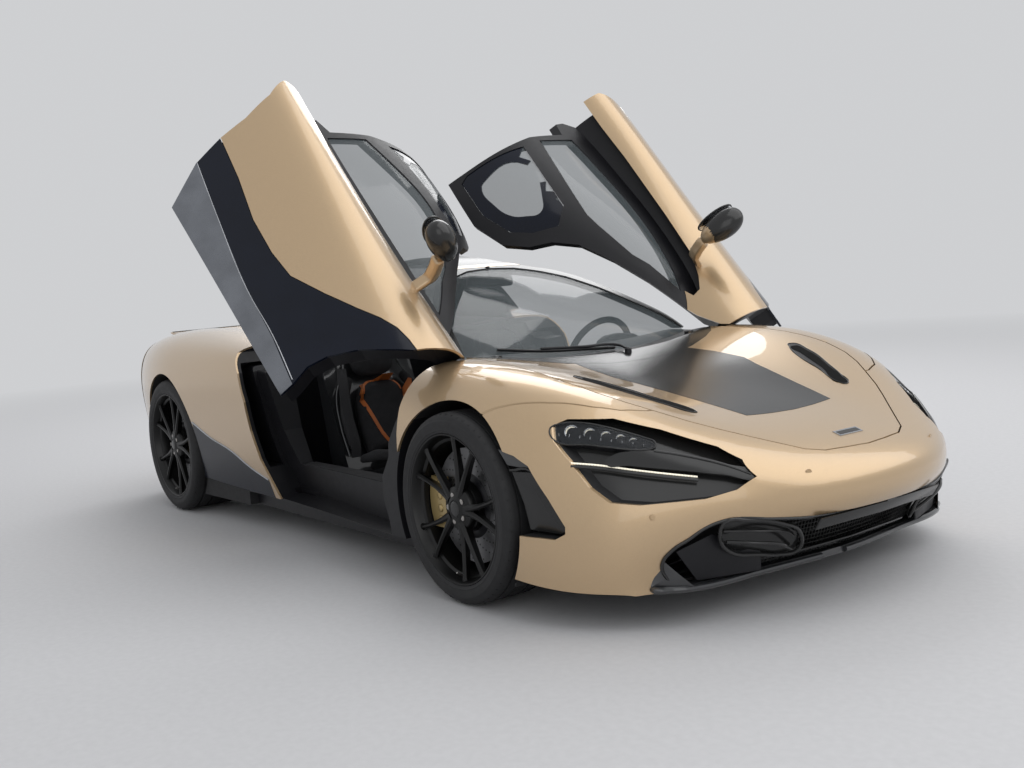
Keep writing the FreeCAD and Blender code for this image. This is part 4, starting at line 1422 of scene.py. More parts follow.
        # Painted shade: thin near-black discs on the face stand for the shade inside the
        # drilled holes.
        hole_shades = Form()
        for number in range(self.drill_rows):
            radius = 122.0 + number * (edge - 134.0) / (self.drill_rows - 1)
            angle = math.radians(number * 5.0)
            spot = mm(radius * math.cos(angle), y1 - 2.0, radius * math.sin(angle))
            hole_shades.rod(spot, spot + mm(0, 0.8, 0), 0.0032, steps=8)
        hole_shades.repeat(self.drill_turns, ACROSS)
        self.fit(hole_shades, "drilling", SHADE, "dark_trim")

    def caliper(self) -> None:
        """Cap the caliper's pistons."""
        size, hand = self.size, self.hand
        front = size.end == "front"
        skin = self.skin("caliper_" + hand.word if front else "rear_calipers")
        out = ACROSS * hand.value
        form = Form()
        for height in (-62.0, -22.0, 22.0, 62.0):
            outside = mm(size.x + (-150 if front else 150),
                         hand.value * (size.y + size.half), size.tyre + height)
            spot = skin.drop(outside, -out)
            if spot is not None:
                form.lathe([(0, 5), (9, 5), (13, 3), (15, 0), (15, -3), (0, -3)], spot,
                           out, 24)
        if form.mesh.verts:
            form.done("caliper_caps_" + self.corner, BRASS, "caliper_paint",
                      "knuckle_" + hand.word if front else "body")
        else:
            form.mesh.free()

    def build(self) -> None:
        """Make the wheel's pieces."""
        self.tyre()
        self.rim()
        self.fittings()
        self.brake()
        self.caliper()


@dataclass
class Wheels(Part):
    """The four wheels."""

    axles: tuple[WheelSize, ...] = (
        WheelSize("front", 1196.5, 832.0, 327.0, 255.5, 245.0, 197.0),
        WheelSize("rear", -1473.5, 800.0, 345.5, 268.0, 305.0, 190.0))

    def build(self) -> None:
        """Make each wheel."""
        for size in self.axles:
            for hand in Hand:
                Wheel(self.frame, size, hand).build()


@dataclass
class Doors(Part):
    """The doors' strips, roof borders, trim, hooks and mirrors, and the sills.

    Every outline is a shut right door's. Those of the card, the arm rest and the
    speaker's net are given by x and z, at y = wall; the mirror's arm by y and z.
    """

    hinge: DoorHinge = DoorHinge()
    strip: tuple[Place, ...] = (
        (-400, -930, 362), (-392, -930, 359), (-84, -930, 313), (267, -930, 270),
        (526, -930, 264), (748, -930, 243), (790, -930, 180), (790, -930, 60),
        (-400, -930, 60))
    roof_pane: tuple[Place, ...] = (
        (166, -395, 1150), (133, -300, 1150), (70, -218, 1150), (-80, -158, 1150),
        (-288, -153, 1150), (-316, -192, 1150), (-342, -460, 1150), (84, -460, 1150))
    wall: float = -790.0
    card: tuple[tuple[float, float], ...] = (
        (-300, 300), (-80, 262), (380, 240), (600, 262), (690, 400), (760, 520),
        (700, 610), (300, 640), (-200, 700), (-360, 700), (-350, 480))
    armrest: tuple[tuple[float, float], ...] = (
        (-250, 520), (0, 470), (330, 440), (430, 470), (420, 520), (60, 560), (-240, 600))
    speaker: tuple[tuple[float, float], ...] = (
        (400, 300), (520, 292), (580, 340), (560, 400), (440, 410), (385, 360))
    mirror_arm: tuple[tuple[float, float], ...] = (
        (-872, 936), (-884, 902), (-846, 880), (-812, 850), (-806, 742), (-784, 742),
        (-786, 872), (-806, 900), (-846, 926))

    def shut(self, node: str) -> Skin:
        """Give a right door's node as if it were shut."""
        item = self.frame["nodes"][node + "_right"]
        return Skin(item, self.hinge.open(Hand.RIGHT).inverted())

    def hang(self, form: Form, name: str, finish: Finish, slot: str,
             stands_for: str = "") -> None:
        """Put a shut right door's piece on both open doors.

        Args:
            form: the piece.
            name: its name without the side.
            finish: its finish.
            slot: not used.
            stands_for: the start of the CAD nodes' name that it stands for.
        """
        mesh = form.bake(name)
        for hand in Hand:
            one = Form()
            one.mesh.from_mesh(mesh)
            if hand is Hand.LEFT:
                one.move(MIRROR_Y)
            one.move(self.hinge.open(hand))
            one.done(f"{name}_{hand.word}", finish, slot, "door_" + hand.word,
                     (stands_for + hand.word,) if stands_for else ())

    def outside(self) -> None:
        """Lay the silver strip along each door's foot, and a bead over it."""
        low = self.shut("door_lower")
        side = Vector((0.0, -1.0, -0.25))
        self.hang(low.cover(spots(self.strip), side, 0.0014, 0.3, smooth=0),
                  "door_foot_strip", BLADE, "steel")
        line = spots(((-392, -1200, 362), (-84, -1200, 316), (267, -1200, 273),
                      (526, -1200, 267), (730, -1200, 247)))
        bead = Form().rail(low.drape(line, ACROSS, 0.0005), 0.0022, steps=8)
        self.hang(bead, "door_foot_bead", SILVER, "steel")

    def frit(self) -> None:
        """Black out the border of each roof pane, on both its faces.

        Each ray from the pane's middle ends where the pane does; the border
        runs from there inward to the share of the outline that stays clear.
        """
        skin = self.shut("door_glass")
        middle, clear, proud = mm(-110, -315, 1150), 0.64, UP * 0.0012
        form = Form()
        rows = []
        for place in Curve(spots(self.roof_pane), True, 6).places():
            far = next((r for r in (1.12 - 0.005 * n for n in range(60))
                        if skin.drop(middle.lerp(place, r) + UP * 0.2, -UP)), 1.0)
            hits = [skin.drop(middle.lerp(place, far + (clear - far) * step / 3)
                              + UP * 0.2, -UP) for step in range(4)]
            rows.append([form.mesh.verts.new(hit + proud) if hit is not None else None
                         for hit in hits])
        for one, two in zip(rows, rows[1:] + rows[:1]):
            for a, b, c, d in zip(one, one[1:], two[1:], two):
                if None not in (a, b, c, d):
                    form.mesh.faces.new((a, b, c, d))
        form.clean()
        grown = bmesh.ops.extrude_face_region(form.mesh, geom=list(form.mesh.faces))
        bmesh.ops.translate(form.mesh, vec=UP * -0.0078, verts=corners(grown["geom"]))
        self.hang(form, "roof_pane_border", NAVY, "dark_panel")

    def inside(self) -> None:
        """Trim each door's inner face: card, arm rest, speaker and pull."""
        skin = self.shut("door_frame")
        for name, outline, thick, finish, slot in (
                ("door_card", self.card, 0.008, SUEDE, "leather_dark"),
                ("door_armrest", self.armrest, 0.024, LEATHER, "leather_dark"),
                ("door_speaker", self.speaker, 0.012, GRILLE, "dark_trim")):
            border = [mm(x, self.wall, z) for x, z in outline]
            self.hang(skin.cover(border, ACROSS, thick, 0.2, 0.25), name, finish, slot)
        inner = skin.drape(spots(((60, -500, 600), (140, -500, 615), (220, -500, 600))),
                           -ACROSS, 0.016, 0.2)
        pull = Form().rail(inner, 0.007, steps=6)
        for foot in (inner[0], inner[2]):
            pull.rod(foot, foot - ACROSS * 0.03, 0.008)
        self.hang(pull, "door_pull", SILVER, "steel")

    def hook(self) -> None:
        """Hang the latch hook at each roof part's corner."""
        skin = self.shut("door_frame")
        spot = skin.drape([mm(-318, -120, 1190)], -UP, -0.010)[0]
        outline = [spot + mm(x, 0, z) for x, z in (
            (-16, 0), (16, 0), (16, -22), (4, -34), (-8, -32), (-2, -22), (-16, -20))]
        self.hang(Form().plate(outline, mm(0, 10, 0), 0.0015), "door_latch", STEEL,
                  "steel")

    def mirror(self) -> None:
        """Build each mirror: an oval head, its glass, and a painted cap and arm."""
        middle = mm(587, -970, 952)

        def oval(grow: float) -> Form:
            """Make the head's oval, flat at the back.

            Args:
                grow: its scale.

            Returns:
                The oval's form.
            """
            form = Form().ball(Vector(), 1.0, 48)
            for v in form.mesh.verts:
                slim = 1.0 - 0.16 * v.co.y
                v.co = middle + Vector((max(-0.056, v.co.x * 0.062 * slim),
                                        v.co.y * 0.103, v.co.z * 0.053 * slim)) * grow
            return form

        self.hang(oval(1.0), "mirror_head", BLACK, "gloss_black", "mirror_")
        cap = oval(1.012)
        far = [v for v in cap.mesh.verts
               if v.co.y < -0.915 - 0.22 * (v.co.z - 0.952) or v.co.x < 0.530]
        bmesh.ops.delete(cap.mesh, geom=far, context="VERTS")
        self.hang(cap, "mirror_inner_cap", GOLD, "body_paint")
        loop = [mm(529, -970 + 84 * math.cos(a), 952 + 42 * math.sin(a))
                for a in (2.0 * math.pi * n / 24 for n in range(24))]
        glass = Form().plate(loop, mm(4, 0, 0), 0.001)
        self.hang(glass, "mirror_glass", MIRROR, "window_glass")
        rim = Form().rail([p + mm(1, 0, 0) for p in loop], 0.004, True, 2)
        self.hang(rim, "mirror_rim", BLACK, "gloss_black")
        arm = Form().plate([mm(546, y, z) for y, z in self.mirror_arm], mm(50, 0, 0),
                           0.012, 3)
        self.hang(arm, "mirror_arm", GOLD, "body_paint")

    def sill(self) -> None:
        """Lay carpet on the sill's inner step."""
        top = spots(((-180, -900, 400), (560, -900, 400), (600, -735, 400),
                     (-220, -735, 400)))
        self.skin("tub").cover(top, UP, 0.004, 0.2, 0.5, smooth=0).both().done(
            "sill_carpet", CARPET, "seat_cloth")

    def build(self) -> None:
        """Make the doors' and the doorways' pieces."""
        self.outside()
        self.frit()
        self.inside()
        self.hook()
        self.mirror()
        self.sill()


@dataclass
class Stuffed:
    """A foam piece under a stretched cover."""

    voxel: float = 0.008
    cap: float = 0.012
    pressure: float = 4.0
    frames: int = 20

    def swell(self, form: Form, name: str) -> bpy.types.Mesh:
        """Remesh a closed form evenly and blow it up with cloth pressure.

        Args:
            form: the slightly smaller starting shape.
            name: the mesh's name.

        Returns:
            The mesh at the end of the simulation.
        """
        item = add_object(name, form.bake(name))
        even = item.modifiers.new("even", "REMESH")
        even.mode, even.voxel_size = "VOXEL", self.voxel
        mesh = bpy.data.meshes.new_from_object(evaluated(item))
        item.modifiers.remove(even)
        item.data = mesh
        rest = [v.co.copy() for v in mesh.vertices]
        cloth = item.modifiers.new("cloth", "CLOTH")
        cloth.settings.use_pressure = True
        cloth.settings.uniform_pressure_force = self.pressure
        cloth.settings.effector_weights.gravity = 0.0
        cloth.point_cache.frame_start = 1
        cloth.point_cache.frame_end = self.frames
        for frame in range(1, self.frames + 1):
            bpy.context.scene.frame_set(frame)
        mesh = bpy.data.meshes.new_from_object(evaluated(item))
        for vertex, place in zip(mesh.vertices, rest):
            step = vertex.co - place
            if step.length > self.cap:
                vertex.co = place + step.normalized() * self.cap
        bpy.context.scene.frame_set(1)
        bpy.data.objects.remove(item)
        return mesh


@dataclass
class Seats(Part):
    """The two bucket seats: stuffed pads with orange strips, belts and rims.

    Attributes:
        side: how far to the left the seat's middle lies, in millimetres.
        lean: the way up the backrest.
        face: the way that it looks.
    """

    side: float = 370.0
    lean: Vector = Vector((-0.360, 0.0, 0.933))
    face: Vector = Vector((0.933, 0.0, 0.360))

    def back(self, across: float, up: float, out: float = 0.0) -> Vector:
        """Give a place on the backrest, so far left, up and out in millimetres."""
        foot = mm(-112, self.side + across, 322)
        return foot + (self.lean * up + self.face * out) * 0.001

    def backs(self, points: Iterable[tuple[float, float]], out: float = 0.0,
              sign: int = 1) -> list[Vector]:
        """Give places on the backrest from pairs of left, times a sign, and up."""
        return [self.back(sign * across, up, out) for across, up in points]

    def pad(self, outline: list[Vector], push: Vector, bevel: float, name: str,
            hides: tuple[str, ...] = ()) -> bpy.types.Object:
        """Stuff one pad and its twin on the other seat.

        Args:
            outline: one side of the left seat's pad.
            push: where the other side lies from it.
            bevel: how round its edges are.
            name: the pad's name.
            hides: the CAD nodes that it stands for.

        Returns:
            The left seat's pad.
        """
        mesh = Stuffed().swell(Form().plate(outline, push, bevel, 3), name)
        twin = mesh.copy()
        items = []
        for one, word in ((mesh, "left"), (twin, "right")):
            if one is twin:
                one.transform(MIRROR_Y)
                one.flip_normals()
            item = settle(one, f"{name}_{word}", SUEDE, "body",
                          hides if one is mesh else (), 180.0, 1)
            items.append(item)
        return items[0]

    def strip(self, under: bpy.types.Object, line: list[Vector], way: Vector,
              wide: float, name: str) -> None:
        """Sew a flat orange strip onto a pad, on both seats.

        Args:
            under: the pad.
            line: the strip's middle line, in front of the pad.
            way: the way from the line to the pad.
            wide: the strip's width in metres.
            name: the strip's name.
        """
        skin = Skin(under)
        points = Curve(line, steps=5).places()
        rows = []
        for number, place in enumerate(points):
            ahead = points[min(number + 1, len(points) - 1)]
            along = (ahead - points[max(number - 1, 0)]).normalized()
            across = along.cross(way).normalized() * wide / 2.0
            row = []
            for edge in (place - across, place + across):
                hit = skin.drop(edge, way)
                base = (edge if hit is None else hit) - way * 0.0022
                row += [base, base + way * 0.005]
            rows.append(row)
        Form().ribbon(rows).both().done(name, ORANGE, "seat_cloth")

    def pads(self) -> None:
        """Stuff the squab, the backrest, the head pad and the bolsters."""
        y = self.side
        squab = [mm(x, y - 168, z) for x, z in (
            (192, 334), (186, 362), (60, 346), (-92, 316), (-124, 296), (-128, 268),
            (30, 300))]
        base = self.pad(squab, mm(0, 336, 0), 0.016, "squab", ("seat_cushions",))
        chest = self.backs((
            (-150, 22), (-160, 120), (-152, 250), (-112, 345), (-70, 372), (70, 372),
            (112, 345), (152, 250), (160, 120), (150, 22)))
        rest = self.pad(chest, self.face * -0.052, 0.018, "backrest")
        head = self.backs((
            (-66, 392), (-104, 420), (-112, 470), (-98, 520), (-60, 540), (60, 540),
            (98, 520), (112, 470), (104, 420), (66, 392)), 4)
        self.pad(head, self.face * -0.050, 0.020, "head_pad")
        for sign, word in ((-1, "near"), (1, "far")):
            wing = self.backs((
                (174, 40), (222, 70), (226, 210), (196, 330), (140, 400), (128, 372),
                (168, 300), (178, 180)), 8, sign)
            self.pad(wing, self.face * -0.056, 0.016, "bolster_" + word)
            low = y + sign * 200
            thigh = [mm(x, low - 18, z) for x, z in (
                (186, 352), (176, 392), (40, 384), (-88, 348), (-98, 310), (60, 330))]
            self.pad(thigh, mm(0, 36, 0), 0.012, "thigh_" + word)
        vee = self.backs(((-128, 330), (-88, 190), (-34, 60), (0, 34), (34, 60),
                          (88, 190), (128, 330)), 60)
        self.strip(rest, vee, -self.face, 0.017, "vee_strip")
        arc = self.backs(((-100, 300), (-78, 345), (0, 362), (78, 345), (100, 300)), 60)
        self.strip(rest, arc, -self.face, 0.010, "arc_strip")
        for side in (-88, 88):
            line = spots(((176, y + side, 460), (40, y + side * 0.8, 460),
                          (-80, y + side * 0.5, 460)))
            self.strip(base, line, -UP, 0.012, "squab_strip")

    def shells(self) -> None:
        """Set the runners, the buckles, the belts and the shells' rims."""
        y = self.side
        runners = Form()
        for side in (-170, 170):
            runners.block((-260, y + side - 18, 166), (190, y + side + 18, 186), 0.004)
        runners.both().done("seat_runners", SATIN, "dark_trim")
        buckle = Form().block((-150, 170, 300), (-122, 186, 372), 0.004)
        buckle.both().done("belt_buckles", BLACK, "dark_trim")
        points = [self.back(176, 430, 4), self.back(206, 330, 34),
                  self.back(222, 190, 36), self.back(220, 60, 30),
                  mm(-100, y + 226, 340)]
        belt = [[place + ACROSS * 0.024 * side + self.face * lift
                 for side in (-1, 1) for lift in (0.0, 0.0016)]
                for place in Curve(points, steps=6).places()]
        Form().ribbon(belt).both().done("seat_belts", WEBBING, "seat_cloth")
        rim = Form()
        for side in (-1, 1):
            rim.rail(self.backs(((228, 30), (232, 180), (212, 320), (150, 430),
                                 (122, 520), (60, 556)), -30, side), 0.006, steps=6)
        rim.both().done("shell_rims", CARBON, "gloss_black")

    def build(self) -> None:
        """Make the seats' pieces."""
        self.pads()
        self.shells()


@dataclass
class Cabin(Part):
    """The dashboard, the steering wheel, the console and the inside trim.

    Attributes:
        hub: the steering wheel's middle, and axle the way that it looks.
        reach: the wheel's radius, in metres; flat is taken off it at the foot.
        grip: the radius of the rim itself.
    """

    hub: Vector = mm(480, 370, 690)
    axle: Vector = Vector((-0.929, 0.0, 0.370))
    reach: float = 0.176
    flat: float = 0.022
    grip: float = 0.0145

    def wheel(self) -> None:
        """Build the three-spoke steering wheel on its own body."""
        up = ACROSS.cross(self.axle).normalized()
        ring = []
        for step in range(24):
            angle = 2.0 * math.pi * step / 24
            reach = self.reach - (self.flat if math.sin(angle) < -0.86 else 0.0)
            ring.append(self.hub + self.axle * 0.012 + ACROSS * math.cos(angle) * reach
                        + up * math.sin(angle) * reach)
        Form().rail(ring, self.grip, True, 3, 4).done(
            "wheel_rim", SUEDE, "leather_dark", "steering_wheel", ("steering_wheel",))
        spokes = Form()
        for way in (ACROSS, -ACROSS, -up):
            for shift in (-0.012, 0.012):
                side = way.cross(self.axle) * shift
                spokes.rod(self.hub + way * 0.045 + side + self.axle * 0.006,
                           self.hub + way * (0.168 if way != -up else 0.148)
                           + side * 0.6 + self.axle * 0.012, 0.0085, 0.006, 12)
        spokes.done("wheel_spokes", SATIN, "dark_trim", "steering_wheel")
        Form().lathe([(0, 34), (38, 31), (52, 22), (55, 8), (52, -14), (44, -18),
                      (0, -18)], self.hub - self.axle * 0.002, self.axle, 40).done(
            "wheel_hub", LEATHER, "leather_dark", "steering_wheel")
        Form().lathe([(0, 36.4), (16, 36), (19, 33)], self.hub - self.axle * 0.002,
                     self.axle, 32).done("wheel_boss", SILVER, "steel", "steering_wheel")
        paddles = Form()
        for side in (-1, 1):
            root = self.hub - self.axle * 0.020 + ACROSS * side * 0.072
            paddles.plate([root + up * a + ACROSS * side * b for a, b in (
                (-0.030, 0.0), (-0.026, 0.022), (0.030, 0.022), (0.044, 0.010),
                (0.030, 0.0))], self.axle * -0.004, 0.001)
        paddles.done("paddles", CARBON, "dark_trim", "steering_wheel")

    def dash(self) -> None:
        """Dress the dashboard: hood, screens, vents, seams, band and buttons."""
        arch = [mm(642, y, z) for y, z in (
            (250, 732), (262, 770), (300, 790), (370, 796), (440, 790), (478, 770),
            (490, 732))]
        Form().plate(arch, mm(-62, 0, 3), 0.010, 3).done(
            "binnacle_hood", LEATHER, "leather_dark")
        Form().block((574, 284, 730), (582, 456, 778), 0.004).done(
            "binnacle_screen", SCREEN, "gloss_black")
        Form().plate(spots(((556, -82, 560), (556, 82, 560), (532, 78, 716),
                            (532, -78, 716))), mm(-9, 0, -2), 0.003).done(
            "middle_screen", SCREEN, "gloss_black")
        Form().plate(spots(((562, -92, 548), (562, 92, 548), (536, 88, 730),
                            (536, -88, 730))), mm(-5, 0, -1), 0.003).done(
            "screen_surround", SATIN, "dark_trim")
        vents = Form()
        for y in (-560, -480, 150, 570):
            for z in range(648, 692, 9):
                vents.block((550, y - 34, z), (562, y + 34, z + 3), 0.0008, 1)
            vents.rail([mm(556, y + a, z) for a, z in (
                (-40, 640), (40, 640), (40, 698), (-40, 698))], 0.0035, True, 3)
        vents.done("face_vents", SATIN, "dark_trim")
        seams = Form()
        for x in (575, 640, 700):
            z = 720 + (x - 560) * 0.178 + 1
            seams.rail([mm(x, -600, z), mm(x, -250, z), mm(x, 180, z)], 0.0008, steps=4,
                       sides=1)
        seams.done("dash_seams", THREAD, "seat_cloth")
        Form().plate(spots(((552, -600, 600), (552, -170, 600), (548, -170, 640),
                            (548, -600, 640))), mm(-10, 0, 0), 0.004, 3).done(
            "dash_band", CARBON, "gloss_black")
        row = Form().rod(mm(530, -66, 545), mm(520, -66, 545), 0.010, steps=20)
        row.row(5, mm(0, 33, 0)).done("dash_buttons", BLACK, "gloss_black")

    def middle(self) -> None:
        """Top the console with its controls, and add the carpets and pedals."""
        Form().block((-280, -92, 420), (520, 92, 426), 0.003).done(
            "console_top", CARBON, "gloss_black")
        knobs = Form()
        for x in (250, 310):
            knobs.rod(mm(x, 0, 426), mm(x, 0, 446), 0.024, 0.021, 32)
        knobs.done("console_knobs", SILVER, "steel")
        keys = Form().block((110, -46, 426), (150, -26, 430), 0.002)
        keys.row(3, mm(0, 36, 0)).done("console_keys", BLACK, "gloss_black")
        Form().block((-280, -84, 427), (-60, 84, 442), 0.012, 4).done(
            "arm_pad", LEATHER, "leather_dark")
        Form().block((-140, 128, 166), (560, 600, 172), 0.002).both().done(
            "cabin_carpets", CARPET, "seat_cloth")
        pedals = Form()
        for y, wide in ((330, 26), (430, 34)):
            pedals.plate(spots(((640, y - wide, 230), (640, y + wide, 230),
                                (676, y + wide, 320), (676, y - wide, 320))),
                         mm(5, 0, -2), 0.002)
            pedals.rod(mm(660, y, 280), mm(745, y, 470), 0.006, steps=12)
        pedals.done("pedals", STEEL, "steel")

    def ceiling(self) -> None:
        """Hang the inner mirror and line the sills' inner walls."""
        Form().plate(spots((
            (182, -118, 1040), (182, 118, 1040), (178, 126, 1062), (174, 112, 1094),
            (174, -112, 1094), (178, -126, 1062))), mm(22, 0, 6), 0.006, 3).done(
            "inner_mirror", SATIN, "dark_trim")
        Form().plate(spots(((180, -110, 1046), (180, 110, 1046), (173, 106, 1090),
                            (173, -106, 1090))), mm(-1.5, 0, 0)).done(
            "inner_mirror_glass", MIRROR, "gloss_black")
        Form().rod(mm(196, 0, 1084), mm(176, 0, 1132), 0.007, 0.012, 16).done(
            "inner_mirror_arm", SATIN, "dark_trim")
        Form().plate([mm(x, 736, z) for x, z in (
            (-100, 180), (560, 180), (560, 300), (-100, 320))], mm(0, -6, 0),
            0.002).both().done("sill_cards", CARPET, "seat_cloth")

    def build(self) -> None:
        """Make the cabin's pieces."""
        self.wheel()
        self.dash()
        self.middle()
        self.ceiling()


@dataclass
class Sides(Part):
    """The dark lower flank with its silver line, the roof's rail and the deck."""

    line: tuple[Place, ...] = (
        (-1109, -1200, 490), (-922, -1200, 425), (-710, -1200, 375),
        (-532, -1200, 309), (-364, -1200, 264))

    def flanks(self) -> None:
        """Cover the flank under the line, and lay the line."""
        skin = self.skin("rear_quarters")
        low = [mm(x, -1000, z) for x, _, z in self.line] + [
            mm(-340, -1000, 150), mm(-1150, -1000, 150)]
        skin.cover(low, -ACROSS, 0.0014, 0.35, 0.2, smooth=0).both().done(
            "flank_panel", NAVY, "dark_panel")
        line = skin.drape(spots(self.line), ACROSS, 0.001)
        Form().rail(line, 0.0042, steps=8).both().done("flank_line", SILVER, "steel")

    def roof(self) -> None:
        """Paint a thin rail over the windscreen's upper edge."""
        strip = [mm(x, y, 1150) for x, y in (
            (158, -380), (176, 0), (158, 380), (122, 380), (138, 0), (122, -380))]
        self.skin("roof_frame").cover(strip, UP, 0.0016, 0.5, 0.3, smooth=0).done(
            "header_rail", GOLD, "body_paint")

    def deck(self) -> None:
        """Lay louvres across the engine cover."""
        skin = self.skin("engine_cover")
        slats = Form()
        for number in range(6):
            x, wide = -1330 - number * 62, 180 - number * 10
            ends = skin.drape([mm(x, y * wide, 1300) for y in (-1, -0.5, 0, 0.5, 1)],
                              -UP, 0.003)
            slats.rail(ends, 0.0065, steps=5, sides=2)
        slats.done("deck_louvres", SATIN, "dark_trim")

    def build(self) -> None:
        """Make the sides' and the deck's pieces."""
        self.flanks()
        self.roof()
        self.deck()


@dataclass
class Tail(Part):
    """Lamps, meshes, plate, pipes, diffuser and wing at the rear."""

    def lamps(self) -> None:
        """Light two thin blades and the high lamp under the wing."""
        blade = Form()
        for z, radius in ((706, 0.0022), (718, 0.0034)):
            blade.rail([mm(-2247, 424, z), mm(-2249, 590, z + 2), mm(-2247, 756, z)],
                       radius, steps=6)
        blade.both().done("tail_blades", LAMP_RED, "lamp_red")
        Form().block((-2240, -120, 846), (-2236, 120, 854), 0.001).done(
            "high_lamp", LAMP_RED, "lamp_red")

    def meshes(self) -> None:
        """Cover the bumper's openings with expanded mesh, put a dark sheet behind it as
        painted shade, and frame them.
        """
        mesh, frame = Form(), Form()
        for low, high in (((180, 566), (640, 690)), ((330, 380), (600, 530))):
            (y0, z0), (y1, z1) = low, high
            for step in range(int((y1 - y0) / 20) + 1):
                y = y0 + step * 20
                mesh.rod(mm(-2238, y, z0), mm(-2238, y, z1), 0.0022, steps=6)
            for step in range(int((z1 - z0) / 14) + 1):
                z = z0 + step * 14
                mesh.rod(mm(-2240, y0, z), mm(-2240, y1, z), 0.0022, steps=6)
            frame.rail([mm(-2239, y0, z0), mm(-2239, y1, z0), mm(-2239, y1, z1),
                        mm(-2239, y0, z1)], 0.006, True, 1)
            # Painted shade: a satin black sheet just behind the wires stands for the dark
            # space inside the opening.
            mesh.block((-2237.5, y0, z0), (-2236, y1, z1))
        mesh.both().done("tail_mesh", SATIN, "dark_trim")
        frame.both().done("tail_mesh_frames", BLACK, "gloss_black")

    def plate(self) -> None:
        """Hang a blank plate in its recess."""
        Form().block((-2240, -270, 396), (-2236, 270, 520), 0.0015).done(
            "plate_recess", SATIN, "dark_trim")
        Form().block((-2243, -260, 402), (-2240, 260, 513), 0.001).done(
            "blank_plate", PLATE, "steel")

    def pipes(self) -> None:
        """Ring the exhausts with heat-tinted tips and a bezel."""
        tips, bezel = Form(), Form()
        ahead = Vector((1.0, 0.0, 0.0))
        for y in (-110, 110):
            start = mm(-2141, y, 640)
            tips.lathe([(52.6, -95), (52.8, -127), (50, -129), (45.6, -127),
                        (45.4, -59)], start, ahead, 56)
            bezel.lathe([(53, -97), (60, -97), (62, -100), (60, -102), (53, -102)],
                        start, ahead, 56, True)
        tips.done("pipe_tips", HOT_STEEL, "steel")
        bezel.done("pipe_bezels", SATIN, "dark_trim")

    def diffuser(self) -> None:
        """Build the sloping tray with its fins in the diffuser's place."""
        tray = Form().plate(spots((
            (-1852, -636, 152), (-1852, 636, 152), (-2040, 636, 196), (-2228, 636, 306),
            (-2228, -636, 306), (-2040, -636, 196))), mm(0, 0, 8), 0.002)
        for y in (-632, -480, -330, -180, 180, 330, 480, 632):
            tray.plate([mm(x, y - 4, z) for x, z in (
                (-1900, 165), (-2050, 152), (-2222, 164), (-2228, 318), (-2040, 206))],
                mm(0, 8, 0), 0.0015)
        tray.block((-2228, -636, 312), (-2180, 636, 328), 0.003)
        tray.done("diffuser_fins", CARBON, "gloss_black", hides=("diffuser",))

    def wing(self) -> None:
        """Add the wing's carbon lip."""
        lip = self.skin("rear_wing").drape(
            [mm(-2264, y, 1300) for y in (-590, -300, 0, 300, 590)], -UP, 0.001)
        Form().rail(lip, 0.004, steps=8).done(
            "wing_lip", CARBON, "gloss_black", "rear_wing")

    def build(self) -> None:
        """Make the tail's pieces."""
        self.lamps()
        self.meshes()
        self.plate()
        self.pipes()
        self.diffuser()
        self.wing()


